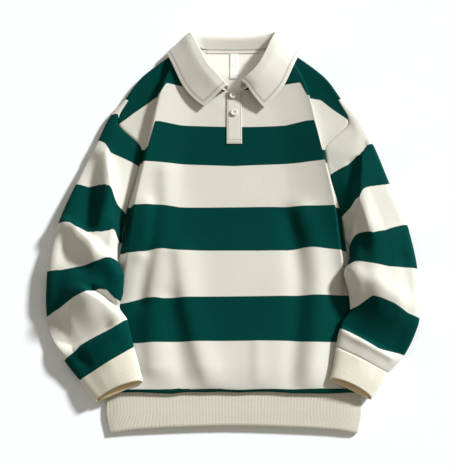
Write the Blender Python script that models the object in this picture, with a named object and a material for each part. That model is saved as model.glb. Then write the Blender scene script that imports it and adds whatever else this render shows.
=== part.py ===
"""Long-sleeved polo sweatshirt, laid out flat on its back with puffed sleeves.

+Z is up from the surface that it lies on, +Y points to the neck and +X to the right of the picture.
The origin is the centre of the resting face. Tables are in millimetres, as a pattern is drawn, and
MM turns them into metres when a mesh is made. In a table for a matched pair, x is the distance from
the centre line, and both sides are made from it.
"""

import math

import bpy
import numpy as np

MM = 0.001
JERSEY = 1.8
RIB = 2.2
COLLAR_CLOTH = 3.0
PLACKET_CLOTH = 1.8
TAPE_CLOTH = 0.9
SEAM_GAP = 0.3
ARMHOLE_GAP = 0.5
CUFF_GAP = 0.6

CREAM = ((0.80, 0.76, 0.68), 0.85)
RIB_CREAM = ((0.78, 0.72, 0.58), 0.9)
COLLAR_CREAM = ((0.76, 0.72, 0.64), 0.85)
SATIN = ((0.85, 0.86, 0.88), 0.4)
RESIN = ((0.84, 0.81, 0.75), 0.3)

# Front panel: a row for each level from the hem seam up, and columns from the side seam to the middle.
# Each entry is x, y and the height of the outer face.
FRONT_ROWS = {
    # level: side, side_slope, foot, crest, mid, slit
    "seam": [
        (213, -297, 7.2), (206, -297, 8.2), (199, -297, 9.2),
        (181, -297, 10.2), (99, -297.5, 11.2), (9, -297.5, 11.2),
    ],
    "tuck": [
        (219, -304, 10.8), (212, -304.5, 11.8), (204, -305, 12.8),
        (185, -305, 14.0), (99, -306, 15.0), (9, -305.5, 15.0),
    ],
    "blouse": [
        (222, -297, 14.0), (214, -297.5, 15.2), (206, -298, 16.2),
        (186, -299, 17.6), (99, -300, 18.8), (9, -300, 18.8),
    ],
    "belly": [
        (227, -262, 5.6), (220, -262, 8.0), (213, -261, 10.4),
        (192, -260, 14.4), (99, -260, 23.0), (9, -261, 23.0),
    ],
    "stripe_6": [
        (229, -222, 4.2), (222, -221, 6.4), (214, -220, 9.0),
        (193, -218, 13.5), (100, -218, 23.0), (9, -219, 23.0),
    ],
    "stripe_5": [
        (224, -145, 4.2), (218, -144, 6.4), (210, -143, 8.8),
        (191, -140, 13.5), (98, -139, 23.0), (9, -140, 23.0),
    ],
    "stripe_4": [
        (205, -62, 6.0), (201, -62, 8.4), (197, -61, 10.5),
        (185, -59, 21.0), (99, -57, 21.5), (9, -56, 22.0),
    ],
    "stripe_3": [
        (194.6, 19, 9.6), (191.5, 22, 10.0), (187, 25, 11.5),
        (175, 25, 29.0), (97, 24, 20.0), (9, 25, 20.0),
    ],
    "stripe_2": [
        (178.7, 84, 10.5), (175, 94, 10.8), (170.5, 104, 12.5),
        (158, 110, 30.0), (89, 104, 19.5), (9, 104, 20.0),
    ],
    "slit": [
        (169.3, 138, 11.5), (165.5, 144, 11.6), (161, 150, 13.0),
        (148.5, 157, 29.5), (80, 160, 20.0), (9, 160, 20.0),
    ],
    "yoke": [
        (214.6, 194, 12.0), (188, 213, 11.5), (143.5, 248, 12.5),
        (127, 264, 27.0), (64, 238, 20.0), (9, 213, 20.0),
    ],
    "top": [
        (197, 237.4, 13.5), (171.3, 276, 13.8), (120, 321, 14.2),
        (85.5, 345, 15.0), (57, 293, 17.5), (9, 252, 18.0),
    ],
}
BLOUSE_LEVEL = 2
LEVEL_STEPS = 3
ARMPIT_LEVEL = 6 + 1 / LEVEL_STEPS
SLIT_LEVEL = 9
SLIT_CENTRE = 1.5
SLIT_HALF = 11.0

# Back panel: the same for the height of its underside, with a row added for the turn at the shoulder.
BACK_ROWS = {
    # level: side, side_slope, collar_edge, neck_point, neck, centre
    "hem": [
        (219, -296, 0), (172, -296, 0), (118, -296, 0),
        (82, -296, 0), (54, -296, 0), (0, -296, 0),
    ],
    "waist": [
        (229, -222, 0), (172, -222, 0), (118, -222, 0),
        (82, -222, 0), (54, -222, 0), (0, -222, 0),
    ],
    "ribs": [
        (224, -145, 0), (172, -145, 0), (118, -145, 0),
        (82, -145, 0), (54, -145, 0), (0, -145, 0),
    ],
    "side": [
        (205.5, -64, 0), (172, -64, 0), (118, -64, 0),
        (82, -64, 0), (54, -64, 0), (0, -64, 0),
    ],
    "armpit": [
        (203.0, -35, 0), (172, -33, 0), (118, -33, 0),
        (82, -33, 0), (54, -33, 0), (0, -33, 0),
    ],
    "blade":   [(197, 60, 0), (170, 60, 0), (118, 60, 0), (82, 60, 0), (54, 60, 0), (0, 60, 0)],
    "upper": [
        (200, 170, 0), (170, 185, 0), (118, 200, 0),
        (82, 205, 0), (54, 205, 0), (0, 205, 0),
    ],
    "leaf": [
        (199, 212, 0), (171, 240, 0), (119, 272, 0),
        (83, 272, 0), (54, 266, 0), (0, 264, 0),
    ],
    "over": [
        (197.6, 230, 0), (171.4, 263, 0), (120, 301, 3.6),
        (85, 313, 4.4), (55, 305, 4.4), (0, 296, 4.4),
    ],
    "top": [
        (197.4, 238.0, 0), (171.9, 276.7, 0), (120.6, 321.8, 3.6),
        (86.3, 346.3, 4.4), (56, 339, 4.4), (0, 338, 4.4),
    ],
}
BACK_LEVEL_STEPS = 2
BACK_ARMPIT_LEVEL = 4
UNDER_ARM = (-204.9, -39.4, 3.5)
# The turn forward over the shoulder: degrees, radius of the outer face, and the way that it faces in plan.
SHOULDER_TURN = [
    ("side", 180, 6.75, -0.80, 0.60),
    ("side_slope", 180, 6.90, -0.70, 0.71),
    ("collar_edge", 180, 5.30, -0.62, 0.78),
    ("neck_point", 165, 5.25, -0.50, 0.87),
    ("neck", 24, 10.0, -0.10, 0.99),
    ("centre", 12, 20.0, 0.0, 1.0),
]

# Sleeve: a row for each section from the armhole to the cuff. Outer and inner edge in plan, the height
# of the middles of those edges, then the height of the top at four places from the inner edge outwards.
SLEEVE_ROWS = {
    # outer_x, outer_y, inner_x, inner_y, outer_edge, inner_edge, inner_top, ridge, slope, outer_top
    "left": [
        (231.3, 204.5, 207.5, -44.0, 8.5, 6.5, 16, 25, 21, 17),
        (251.3, 156.7, 208.0, -49.0, 9.5, 7.0, 19, 31, 24, 19),
        (288.1, 72.1, 208.0, -56.5, 11.0, 8.0, 22, 36, 25, 22),
        (315.2, -1.6, 208.0, -68.0, 13.0, 11.5, 26, 37, 31, 26),
        (332.0, -91.0, 193.0, -104.0, 14.0, 26.0, 38, 42, 36, 28),
        (331.5, -140.0, 194.0, -133.0, 14.0, 25.0, 37, 41, 36, 28),
        (328.5, -172.6, 200.0, -157.0, 13.0, 23.0, 34, 37, 33, 26),
        (313.2, -220.0, 185.3, -181.0, 12.0, 23.5, 34, 36, 31, 24),
        (290.0, -256.0, 179.0, -204.0, 11.0, 23.5, 33, 35, 30, 23),
        (266.0, -284.5, 172.5, -228.5, 10.0, 22.5, 32, 32, 27, 22),
    ],
    "right": [
        (231.0, 207.0, 207.5, -44.0, 8.5, 6.5, 16, 25, 21, 17),
        (257.0, 154.0, 208.0, -49.0, 9.5, 7.0, 19, 31, 24, 19),
        (286.0, 71.0, 208.0, -56.5, 11.0, 8.0, 22, 36, 25, 22),
        (314.0, -8.0, 208.0, -68.0, 13.0, 11.5, 26, 37, 31, 26),
        (327.0, -85.0, 195.0, -99.0, 14.0, 26.0, 38, 42, 36, 28),
        (329.5, -135.0, 202.0, -132.0, 14.0, 24.0, 37, 41, 36, 28),
        (327.0, -175.0, 204.0, -160.0, 13.0, 22.0, 34, 37, 33, 26),
        (316.0, -207.0, 190.0, -184.0, 12.0, 23.5, 34, 36, 31, 24),
        (294.0, -245.0, 182.0, -205.0, 11.0, 23.5, 33, 35, 30, 23),
        (267.0, -272.5, 176.5, -229.0, 10.0, 22.5, 32, 32, 27, 22),
    ],
}
# Cuff: the same columns, for its middle and its mouth. It starts at the sleeve's last section.
CUFF_ROWS = {
    "left": [
        (251.0, -304.0, 163.0, -259.0, 12.0, 23.0, 32.5, 32.0, 29, 25),
        (236.0, -321.0, 155.0, -288.0, 13.0, 23.0, 33.0, 32.0, 29, 26),
    ],
    "right": [
        (252.0, -297.0, 171.5, -258.0, 12.0, 23.0, 32.5, 32.0, 29, 25),
        (236.0, -317.0, 164.0, -284.0, 13.0, 23.0, 33.0, 32.0, 29, 26),
    ],
}
MOST_LEAN = 0.85
LEAST_STEP = 0.2
EVEN_ROUNDS = 30
FIRST_ANGLE = math.radians(14)
LAST_ANGLE = math.radians(163)
ANGLE_LEAD = 0.45
TOP_PLACES = (1.0, 0.62, 0.2, -0.3, -0.72, -1.0)
CUFF_TOP_SET_BACK = 9.0
SLEEVE_LIES_ON_BODY_FROM = 4.2

# Hem band, a flattened tube: its top from where the side turns to the middle, bottom edge first.
BAND_ROWS = {
    # edge: side, side_slope, foot, crest, mid, centre
    "bottom": [
        (209.1, -373, 6.6), (202, -371.5, 7.6), (193, -370, 8.2),
        (177, -367.5, 9.0), (99, -362.5, 10.0), (0, -360, 10.0),
    ],
    "middle": [
        (217.2, -334, 6.8), (208, -334, 8.0), (199, -333, 9.0),
        (182, -332, 9.8), (99, -330, 10.8), (0, -329, 10.8),
    ],
    "seam": [
        (215.6, -296.6, 6.2), (207, -296.6, 7.8), (198, -296.6, 8.8),
        (181, -296.6, 9.8), (99, -296.6, 10.8), (0, -296.6, 10.8),
    ],
}

# Collar: a row for each section from the front point to the middle of the back, as middles of the cloth.
COLLAR_ROWS = {
    # section: neck, rise, fold, fall, rest, edge
    "point": [
        (11.5, 257.0, 17.5), (10.8, 257.5, 26.0), (13.0, 256.5, 31.5),
        (21, 249.5, 31.0), (36, 235.5, 28.5), (55, 219.5, 26.5),
    ],
    "front": [
        (29.0, 272.0, 17.5), (26.5, 275.5, 27.5), (30.0, 277.0, 34.0),
        (39.5, 270.0, 33.4), (55, 256.0, 30.5), (76.5, 237.5, 27.0),
    ],
    "chest": [
        (48.5, 289.5, 17.5), (44.5, 294.5, 28.0), (47.0, 296.5, 35.0),
        (56, 290.5, 34.2), (73, 278.0, 31.5), (94.5, 261.5, 28.0),
    ],
    "neck_side": [
        (65.0, 312.5, 17.5), (58.5, 319.5, 26.5), (60.5, 322.5, 33.0),
        (70, 318.0, 32.0), (88, 307.5, 30.0), (109, 293.0, 27.0),
    ],
    "over": [
        (73.0, 332.0, 17.0), (70.0, 344.5, 23.0), (72.5, 352.0, 28.0),
        (82, 349.0, 26.5), (100, 334.0, 23.0), (119, 317.0, 20.5),
    ],
    "side": [
        (79.5, 345.5, 17.6), (77.5, 361.5, 20.5), (81.5, 372.5, 19.5),
        (90, 369.0, 15.0), (107.5, 352.0, 11.5), (126.5, 334.0, 9.5),
    ],
    "turn": [
        (75.0, 350.2, 13.8), (76.0, 366.5, 16.5), (80.0, 376.0, 14.0),
        (87, 371.0, 6.5), (103, 350.5, 2.6), (122.7, 329.5, 2.0),
    ],
    "under": [
        (66.5, 347.8, 8.8), (70.0, 366.0, 12.5), (74.0, 376.3, 9.0),
        (79, 371.5, 2.6), (97, 347.5, 1.65), (116, 321.0, 1.6),
    ],
    "back_side": [
        (53.0, 344.3, 5.7), (58.0, 366.0, 10.0), (61.0, 374.8, 6.0),
        (62, 367.5, 1.7), (82, 340.0, 1.6), (104, 312.5, 1.6),
    ],
    "back": [
        (30.0, 343.2, 5.6), (33.0, 364.0, 9.4), (34.0, 372.0, 5.6),
        (34, 364.5, 1.6), (42, 336.0, 1.6), (55, 304.0, 1.6),
    ],
    "centre": [
        (0.0, 343.0, 5.5), (0.0, 363.0, 9.3), (0.0, 370.5, 5.6),
        (0, 363.0, 1.6), (0, 333.0, 1.6), (0, 300.0, 1.6),
    ],
}
COLLAR_RIGHT_POINT = [
    (13.5, 259.0, 17.5), (13.0, 263.0, 25.5), (15.0, 266.0, 31.0),
    (23.0, 259.5, 31.0), (38, 238.0, 28.5), (56.5, 216.5, 26.5),
]

PLACKET_LEFT = -12.5
PLACKET_RIGHT = 15.5
PLACKET_BOTTOM = 147.2
PLACKET_TOP = 251.0
BUTTON_ACROSS = 13.5
BUTTON_THICK = 2.8
BUTTON_RIM = 0.7
BUTTON_SIDES = 16
BUTTONS = {"button_upper": (-1.0, 243.0), "button_lower": (1.6, 208.1)}

TAPE_HALF = 52.0
TAPE_BOTTOM = 335.6
TAPE_TOP = 341.3
LABEL_CLOTH = 0.6
LABEL_WIDTH = 15.0
LABEL_CENTRE = 1.2
LABEL_TOP = 335.2
LABEL_BOTTOM = 284.0

# Folds, as soft ridges on the cloth: where each runs in plan, its height (a trough is below zero), and
# its width on the left and on the right of the way that it runs.
FRONT_FOLDS = [
    ([(-122, 110), (-120, 25), (-131, -61), (-142, -122), (-146, -181), (-139, -263)], 6.0, 26, 14),
    ([(-154, -61), (-164, -146)], -4.0, 14, 14),
    ([(-95, -40), (-75, -128), (-59, -181), (-36, -239), (-14, -285)], 6.5, 11, 12),
    ([(-97, -125), (-93, -190), (-78, -240), (-56, -290)], -3.0, 11, 11),
    ([(103, 62), (101, -24), (117, -115), (121, -176), (109, -251), (101, -288)], -4.5, 13, 13),
    ([(134, -60), (137, -146), (138, -204), (126, -273)], 4.5, 12, 15),
    ([(40, -221), (40, -285)], 3.0, 9, 9),
]
LEFT_SLEEVE_FOLDS = [
    ([(-299, -6), (-274, -17), (-242, -57), (-215, -79), (-197, -103), (-203, -140)], 9.0, 12, 16),
    ([(-250, -132), (-233, -151), (-212, -168), (-192, -180)], 11.0, 10, 13),
    ([(-290, -100), (-262, -110), (-225, -118)], -8.0, 15, 15),
    ([(-300, -175), (-262, -178), (-222, -192)], -9.0, 16, 14),
    ([(-245, -195), (-223, -207), (-200, -200)], 5.0, 9, 9),
]
RIGHT_SLEEVE_FOLDS = [
    ([(309, -15), (265, -44), (222, -72)], 8.0, 14, 13),
    ([(200, -106), (220, -115), (242, -135), (262, -150)], 10.0, 14, 11),
    ([(300, -70), (262, -88), (235, -98)], -7.0, 14, 14),
    ([(300, -185), (262, -168), (222, -160)], -8.0, 16, 14),
    ([(195, -200), (230, -212), (262, -236)], 4.0, 9, 9),
]

# How finely each piece is divided: steps along it and across it.
HEM_CURL_STEPS = 4
FRONT_STEPS_BELOW_ARM = 9
FRONT_HALF_STEPS = 13
BACK_STEPS = 20
TURN_STEPS = 4
SLEEVE_STEPS = 24
CUFF_STEPS = 3
BAND_STEPS = (3, 20)
BAND_TURN_STEPS = 4
COLLAR_STEPS = (40, 10)
PLACKET_STEPS = (8, 2)
SLIT_STEPS = 1

# The height map of what a sleeve or cuff lies on: its half size, cell, spread and the slope of its skirt.
MAP_HALF = 420.0
MAP_CELL = 3.0
MAP_SPREAD = 5
MAP_SKIRT = 5
MAP_DROP = 3.5


def between_rows(rows, t):
    """Values between a table's rows, on a smooth curve that keeps within neighbouring rows.

    The slope at a row is the harmonic mean of the steps before and after it, or none where they turn.
    """
    rows = np.asarray(rows, float)
    step = np.diff(rows, axis=0)
    before, after = step[:-1], step[1:]
    same_way = before * after > 0
    total = np.where(same_way, before + after, 1.0)
    slope = np.concatenate([step[:1], np.where(same_way, 2 * before * after / total, 0.0), step[-1:]])
    t = np.asarray(t, float)
    low = np.clip(np.floor(t).astype(int), 0, len(rows) - 2)
    f = (t - low).reshape((-1,) + (1,) * (rows.ndim - 1))
    start = (2 * f**3 - 3 * f**2 + 1) * rows[low] + (f**3 - 2 * f**2 + f) * slope[low]
    return start + (3 * f**2 - 2 * f**3) * rows[low + 1] + (f**3 - f**2) * slope[low + 1]


def net_surface(net, along, across):
    """Points of a smooth surface through a net of rows, at the given places along and across it."""
    lines = between_rows(np.swapaxes(np.asarray(net, float), 0, 1), across)
    return between_rows(np.swapaxes(lines, 0, 1), along)


def mirrored(half):
    """A whole net from its half: the columns on the left, then the same ones on the right."""
    half = np.asarray(half, float)
    left = half * (-1, 1, 1)
    return np.concatenate([left, half[:, ::-1]], axis=1)


def mirrored_on_centre(half):
    """A whole net from its half, where the last column is the centre line that both sides share."""
    half = np.asarray(half, float)
    left = half * (-1, 1, 1)
    return np.concatenate([left, half[:, -2::-1]], axis=1)


def unit(vectors):
    """The vectors at length one."""
    length = np.linalg.norm(vectors, axis=-1, keepdims=True)
    return vectors / np.maximum(length, 1e-9)


def grid_normals(points, closed):
    """The normal at each point of a grid, from its neighbours; closed when the columns run round."""
    along = np.gradient(points, axis=0)
    if closed:
        across = np.roll(points, -1, axis=1) - np.roll(points, 1, axis=1)
    else:
        across = np.gradient(points, axis=1)
    return unit(np.cross(across, along))


def fold_height(x, y, folds):
    """How far the folds raise the cloth at each place in plan."""
    total = np.zeros_like(x)
    for path, height, left_width, right_width in folds:
        nearest = np.full_like(x, 1e9)
        turn = np.zeros_like(x)
        for (x0, y0), (x1, y1) in zip(path[:-1], path[1:]):
            run = np.array([x1 - x0, y1 - y0], float)
            f = np.clip(((x - x0) * run[0] + (y - y0) * run[1]) / (run @ run), 0, 1)
            dx = x - x0 - f * run[0]
            dy = y - y0 - f * run[1]
            distance = np.hypot(dx, dy)
            turn = np.where(distance < nearest, run[0] * dy - run[1] * dx, turn)
            nearest = np.minimum(nearest, distance)
        width = np.where(turn > 0, left_width, right_width)
        total += height * np.exp(-((nearest / width) ** 2))
    return total


def squared_off(normals, points, closed):
    """Normals whose end faces at the open borders are upright, so that two pieces meet without a clash.

    With e level and square to the border in plan, a normal n that is nearly upright loses its part along e.
    """
    borders = [(np.s_[0], closed), (np.s_[-1], closed)]
    if not closed:
        borders += [(np.s_[:, 0], False), (np.s_[:, -1], False)]
    squared = normals.copy()
    for edge, runs_round in borders:
        line = points[edge]
        run = np.roll(line, -1, 0) - np.roll(line, 1, 0) if runs_round else np.gradient(line, axis=0)
        square = unit(np.stack([run[:, 1], -run[:, 0], np.zeros(len(run))], axis=-1))
        normal = squared[edge]
        lean = (normal * square).sum(-1, keepdims=True)
        squared[edge] = np.where(np.abs(lean) < MOST_LEAN, unit(normal - lean * square), normal)
    return squared


def evened(inner, outer, closed):
    """The wall's inner points, moved between their neighbours where a turn is too tight for the cloth.

    A step that is under LEAST_STEP of the outer face's step, or runs backwards, marks its two points.
    """
    for _ in range(EVEN_ROUNDS):
        for axis in (1, 0):
            ahead = np.roll(inner, -1, axis) - inner
            outside = np.roll(outer, -1, axis) - outer
            tight = (ahead * outside).sum(-1) < LEAST_STEP * (outside * outside).sum(-1)
            if axis == 0 or not closed:
                tight[(-1, slice(None)) if axis == 0 else (slice(None), -1)] = False
            loose = tight | np.roll(tight, 1, axis)
            if axis == 0 or not closed:
                loose[(0, slice(None)) if axis == 0 else (slice(None), 0)] = False
                loose[(-1, slice(None)) if axis == 0 else (slice(None), -1)] = False
            middle = (np.roll(inner, 1, axis) + np.roll(inner, -1, axis)) / 2
            inner = np.where(loose[..., None], (inner + middle) / 2, inner)
    return inner


def wall_mesh(outer, thickness, closed=False, keep=None, squared=True):
    """Vertices and faces of a closed wall: the outer grid, the same moved in, and the edges between.

    keep marks the cells that are cloth. Edges are closed wherever a kept cell has no kept neighbour.
    """
    rows, columns = outer.shape[:2]
    normals = grid_normals(outer, closed)
    if squared:
        normals = squared_off(normals, outer, closed)
    inner = evened(outer - normals * thickness, outer, closed)
    cell_columns = columns if closed else columns - 1
    if keep is None:
        keep = np.ones((rows - 1, cell_columns), bool)
    shift = rows * columns
    faces = []

    def number(i, j):
        return i * columns + j % columns

    def kept(i, j):
        if closed:
            j %= cell_columns
        return 0 <= i < rows - 1 and 0 <= j < cell_columns and keep[i, j]

    for i in range(rows - 1):
        for j in range(cell_columns):
            if not keep[i, j]:
                continue
            a, b, c, d = number(i, j), number(i, j + 1), number(i + 1, j + 1), number(i + 1, j)
            faces += [(a, b, c), (a, c, d)]
            faces += [(c + shift, b + shift, a + shift), (d + shift, c + shift, a + shift)]
            borders = [(i - 1, j, a, b), (i, j + 1, b, c), (i + 1, j, c, d), (i, j - 1, d, a)]
            for row, column, first, second in borders:
                if not kept(row, column):
                    faces += [(first, first + shift, second + shift), (first, second + shift, second)]
    vertices = np.concatenate([outer.reshape(-1, 3), inner.reshape(-1, 3)])
    return vertices, np.array(faces)


def add_piece(name, vertices, faces, finish):
    """One cloth piece as an object, from millimetres, without the points that no face uses."""
    used, numbers = np.unique(faces, return_inverse=True)
    mesh = bpy.data.meshes.new(name)
    mesh.from_pydata((vertices[used] * MM).tolist(), [], numbers.reshape(faces.shape).tolist())
    mesh.shade_smooth()
    mesh.set_sharp_from_angle(angle=math.radians(50))
    colour, roughness = finish
    material = bpy.data.materials.new(name)
    material.use_nodes = True
    shader = material.node_tree.nodes["Principled BSDF"]
    shader.inputs["Base Color"].default_value = (*colour, 1.0)
    shader.inputs["Roughness"].default_value = roughness
    mesh.materials.append(material)
    bpy.context.scene.collection.objects.link(bpy.data.objects.new(name, mesh))


def front_net():
    """The front panel's net, with the two columns beside the slit moved to its edges."""
    net = mirrored(list(FRONT_ROWS.values()))
    middle = net.shape[1] // 2
    net[:, middle - 1, 0] = SLIT_CENTRE - SLIT_HALF
    net[:, middle, 0] = SLIT_CENTRE + SLIT_HALF
    return net


def front_levels(steps_below):
    """Levels of the front's rows: the curl at the hem, even steps to the armpit, then up to the top."""
    last_row = len(FRONT_ROWS) - 1
    above = round((last_row - ARMPIT_LEVEL) * LEVEL_STEPS)
    curl = np.linspace(0, BLOUSE_LEVEL, HEM_CURL_STEPS + 1)
    below = np.linspace(BLOUSE_LEVEL, ARMPIT_LEVEL, steps_below + 1)
    return np.concatenate([curl, below[1:], np.linspace(ARMPIT_LEVEL, last_row, above + 1)[1:]])


def front_columns(half_steps, slit_steps):
    """Places across the front, with lines on both edges of the slit."""
    half_columns = len(FRONT_ROWS["top"]) - 1
    side = np.linspace(0, half_columns, half_steps + 1)
    slit = np.linspace(half_columns, half_columns + 1, slit_steps + 1)[1:-1]
    return np.concatenate([side, slit, half_columns + 1 + side])


def front_surface(along, across):
    """The front panel's outer face, with its folds, which fade out towards every edge of the panel."""
    points = net_surface(front_net(), along, across)
    last_row = len(FRONT_ROWS) - 1
    from_hem = np.clip((along - 1.6) / 1.4, 0, 1)
    from_top = np.clip((last_row - 1 - along) / 1.0, 0, 1)
    middle = (2 * len(FRONT_ROWS["top"]) - 1) / 2
    from_side = np.clip((middle - np.abs(across - middle) - 0.8) / 1.2, 0, 1)
    fade = np.minimum(from_hem, from_top)[:, None] * from_side[None, :]
    points[..., 2] += fade * fold_height(points[..., 0], points[..., 1], FRONT_FOLDS)
    return points


def make_front():
    """The front panel, with the slit for the placket left out."""
    along = front_levels(FRONT_STEPS_BELOW_ARM)
    across = front_columns(FRONT_HALF_STEPS, SLIT_STEPS)
    points = front_surface(along, across)
    row_middles = (along[:-1] + along[1:]) / 2
    column_middles = (across[:-1] + across[1:]) / 2
    slit_column = len(FRONT_ROWS["top"]) - 1
    in_slit = (column_middles > slit_column) & (column_middles < slit_column + 1)
    keep = ~((row_middles > SLIT_LEVEL)[:, None] & in_slit[None, :])
    add_piece("front", *wall_mesh(points, JERSEY, keep=keep), CREAM)


def back_surface(along, across):
    """The back panel's outer face, which is its underside, then the turn over each shoulder.

    A point of the turn lies at the top row + radius * (sin angle * facing, 1 - cos angle).
    """
    net = mirrored_on_centre(list(BACK_ROWS.values()))
    flat = net_surface(net, along, across)
    turn = np.array([row[1:] for row in SHOULDER_TURN], float)
    whole = np.concatenate([turn, turn[-2::-1] * (1, 1, -1, 1)])
    degrees, radius, facing_x, facing_y = between_rows(whole, across).T
    share = np.linspace(0, 1, TURN_STEPS + 1)[1:, None]
    angle = np.radians(degrees)[None, :] * share
    reach = radius * np.sin(angle)
    facing = unit(np.stack([facing_x, facing_y], axis=-1))
    curl = np.empty((TURN_STEPS, len(across), 3))
    curl[..., 0] = flat[-1, :, 0] + reach * facing[:, 0]
    curl[..., 1] = flat[-1, :, 1] + reach * facing[:, 1]
    curl[..., 2] = flat[-1, :, 2] + radius * (1 - np.cos(angle))
    return np.concatenate([flat, curl])


def back_levels():
    """Levels of the back's rows, up to where it turns over the shoulder."""
    last_row = len(BACK_ROWS) - 1
    return np.linspace(0, last_row, last_row * BACK_LEVEL_STEPS + 1)


def make_back():
    """The back panel. Its outer face looks down, so the grid is turned over for the wall."""
    across = np.linspace(0, 2 * (len(SHOULDER_TURN) - 1), BACK_STEPS + 1)
    points = back_surface(back_levels(), across)
    add_piece("back", *wall_mesh(points[:, ::-1], JERSEY), CREAM)


def armhole_ring():
    """The sleeve's first ring, just outside the panels' side edges, for the left side, and its angles.

    It starts under the arm, runs up the front's edge, round the shoulder turn and down the back's edge,
    with a point for each row of the panels. A point's angle fits its share of that edge's length, as
    1 - cos(angle) does in the sleeve's sections.
    """
    two_columns = np.array([0.0, 5 / FRONT_HALF_STEPS])
    levels = front_levels(FRONT_STEPS_BELOW_ARM)
    front = front_surface(levels[levels > ARMPIT_LEVEL - 0.01], two_columns)
    levels = back_levels()
    back = back_surface(levels[levels > BACK_ARMPIT_LEVEL - 0.01], two_columns)
    flat = len(back) - TURN_STEPS
    edges = []
    for panel in (front, back):
        away = unit((panel[:, 0] - panel[:, 1]) * (1, 1, 0))
        if panel is back:
            away[flat:] = away[flat - 1]
        edges.append(panel[:, 0] + away * ARMHOLE_GAP)
    front_edge, back_edge = edges
    turn = back_edge[flat:-1][::-1]
    down = back_edge[:flat][::-1]
    ring = np.concatenate([[UNDER_ARM], front_edge, turn, down])
    rising = edge_angles(front_edge)
    turning = np.linspace(rising[-1], 2 * np.pi - rising[-1], len(turn) + 2)[1:-1]
    falling = 2 * np.pi - edge_angles(down[::-1])[::-1]
    return ring, np.concatenate([[0.0], rising, turning, falling])


def edge_angles(edge):
    """Angles from FIRST_ANGLE to LAST_ANGLE for the points of an armhole edge, by their shares of it."""
    length = np.concatenate([[0], np.cumsum(np.linalg.norm(np.diff(edge, axis=0), axis=1))])
    share = length / length[-1]
    share += ANGLE_LEAD * share * (1 - share)
    return np.arccos(np.cos(FIRST_ANGLE) - share * (np.cos(FIRST_ANGLE) - np.cos(LAST_ANGLE)))


def section_rings(rows, angles):
    """One ring for each section: level at its edges, rounded over the top and nearly flat below.

    With u = cos(angle), the top is edge + (height(u) - edge) * (1 - u^4)^0.45.
    """
    rows = np.asarray(rows, float)
    u = np.cos(angles)
    share = (1 - u) / 2
    rings = np.empty((len(rows), len(angles), 3))
    rings[..., 0] = -(rows[:, 2:3] + (rows[:, 0:1] - rows[:, 2:3]) * share)
    rings[..., 1] = rows[:, 3:4] + (rows[:, 1:2] - rows[:, 3:4]) * share
    edge = rows[:, 5:6] + (rows[:, 4:5] - rows[:, 5:6]) * share
    tops = rows[:, (6, 6, 7, 8, 9, 9)]
    place = np.interp(-u, [-value for value in TOP_PLACES], np.arange(len(TOP_PLACES)))
    top = between_rows(tops.T, place).T
    rounded = (1 - u**4).clip(0) ** 0.45
    flattened = (1 - u**6).clip(0) ** 0.45
    over = edge + (top - edge) * rounded
    under = edge * (1 - flattened)
    rings[..., 2] = np.where(np.sin(angles) > 0, over, under)
    return rings


def height_map(points):
    """Heights of what lies below, in plan cells, spread sideways and then sloped down to the floor."""
    count = int(2 * MAP_HALF / MAP_CELL)
    heights = np.zeros((count, count))
    cells = ((points[..., :2] + MAP_HALF) / MAP_CELL).astype(int).reshape(-1, 2)
    np.maximum.at(heights, (cells[:, 0], cells[:, 1]), points[..., 2].reshape(-1))
    for step in range(MAP_SPREAD + MAP_SKIRT):
        drop = 0.0 if step < MAP_SPREAD else MAP_DROP
        spread = heights.copy()
        for axis in (0, 1):
            for way in (1, -1):
                spread = np.maximum(spread, np.roll(heights, way, axis) - drop)
        heights = spread
    return heights


def height_at(heights, x, y):
    """The height in the map at each place, from the four cells around it."""
    column = (x + MAP_HALF) / MAP_CELL - 0.5
    row = (y + MAP_HALF) / MAP_CELL - 0.5
    i, j = np.floor(column).astype(int), np.floor(row).astype(int)
    f, g = column - i, row - j
    low = heights[i, j] * (1 - f) + heights[i + 1, j] * f
    high = heights[i, j + 1] * (1 - f) + heights[i + 1, j + 1] * f
    return low * (1 - g) + high * g


def under_sleeves():
    """The height map of the front below the armpit and of the hem band, for the left half."""
    levels = np.linspace(0, ARMPIT_LEVEL - 0.25, 260)
    middle = (2 * len(FRONT_ROWS["top"]) - 1) / 2
    front = front_surface(levels, np.linspace(0, middle, 160))
    band = band_surface(np.linspace(0, 2, 60), np.linspace(0, 10, 400), 9)
    points = np.concatenate([front.reshape(-1, 3), band.reshape(-1, 3)])
    return height_map(points)


def lie_on(points, heights, from_row):
    """The points, lifted where they would reach into what lies below them."""
    ground = height_at(heights, points[..., 0], points[..., 1])
    lifted = np.maximum(points[..., 2], ground + SEAM_GAP)
    points[from_row:, :, 2] = lifted[from_row:]
    return points


def sleeve_surface(side, along, heights):
    """The sleeve's outer face, built as a left one and mirrored for the right."""
    sign = -1 if side == "left" else 1
    armhole, angles = armhole_ring()
    rings = np.concatenate([armhole[None], section_rings(SLEEVE_ROWS[side], angles)])
    points = between_rows(rings, along)
    folds = LEFT_SLEEVE_FOLDS if side == "left" else RIGHT_SLEEVE_FOLDS
    last = len(SLEEVE_ROWS[side])
    fade = np.clip((along - 1) / 1.5, 0, 1) * np.clip((last - along) / 0.8, 0, 1)
    over = np.sin(angles).clip(0) ** 0.7
    raised = fold_height(-sign * points[..., 0], points[..., 1], folds)
    points[..., 2] += fade[:, None] * over[None, :] * raised
    start = int(np.argmax(along > SLEEVE_LIES_ON_BODY_FROM))
    points = lie_on(points, heights, start)
    return points if side == "left" else (points * (-1, 1, 1))[:, ::-1]


def make_sleeve(side, heights):
    """One sleeve, a puffed tube from the armhole to the cuff seam."""
    along = np.linspace(0, len(SLEEVE_ROWS[side]), SLEEVE_STEPS + 1)
    points = sleeve_surface(side, along, heights)
    add_piece("sleeve_" + side, *wall_mesh(points, JERSEY, closed=True), CREAM)


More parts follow.
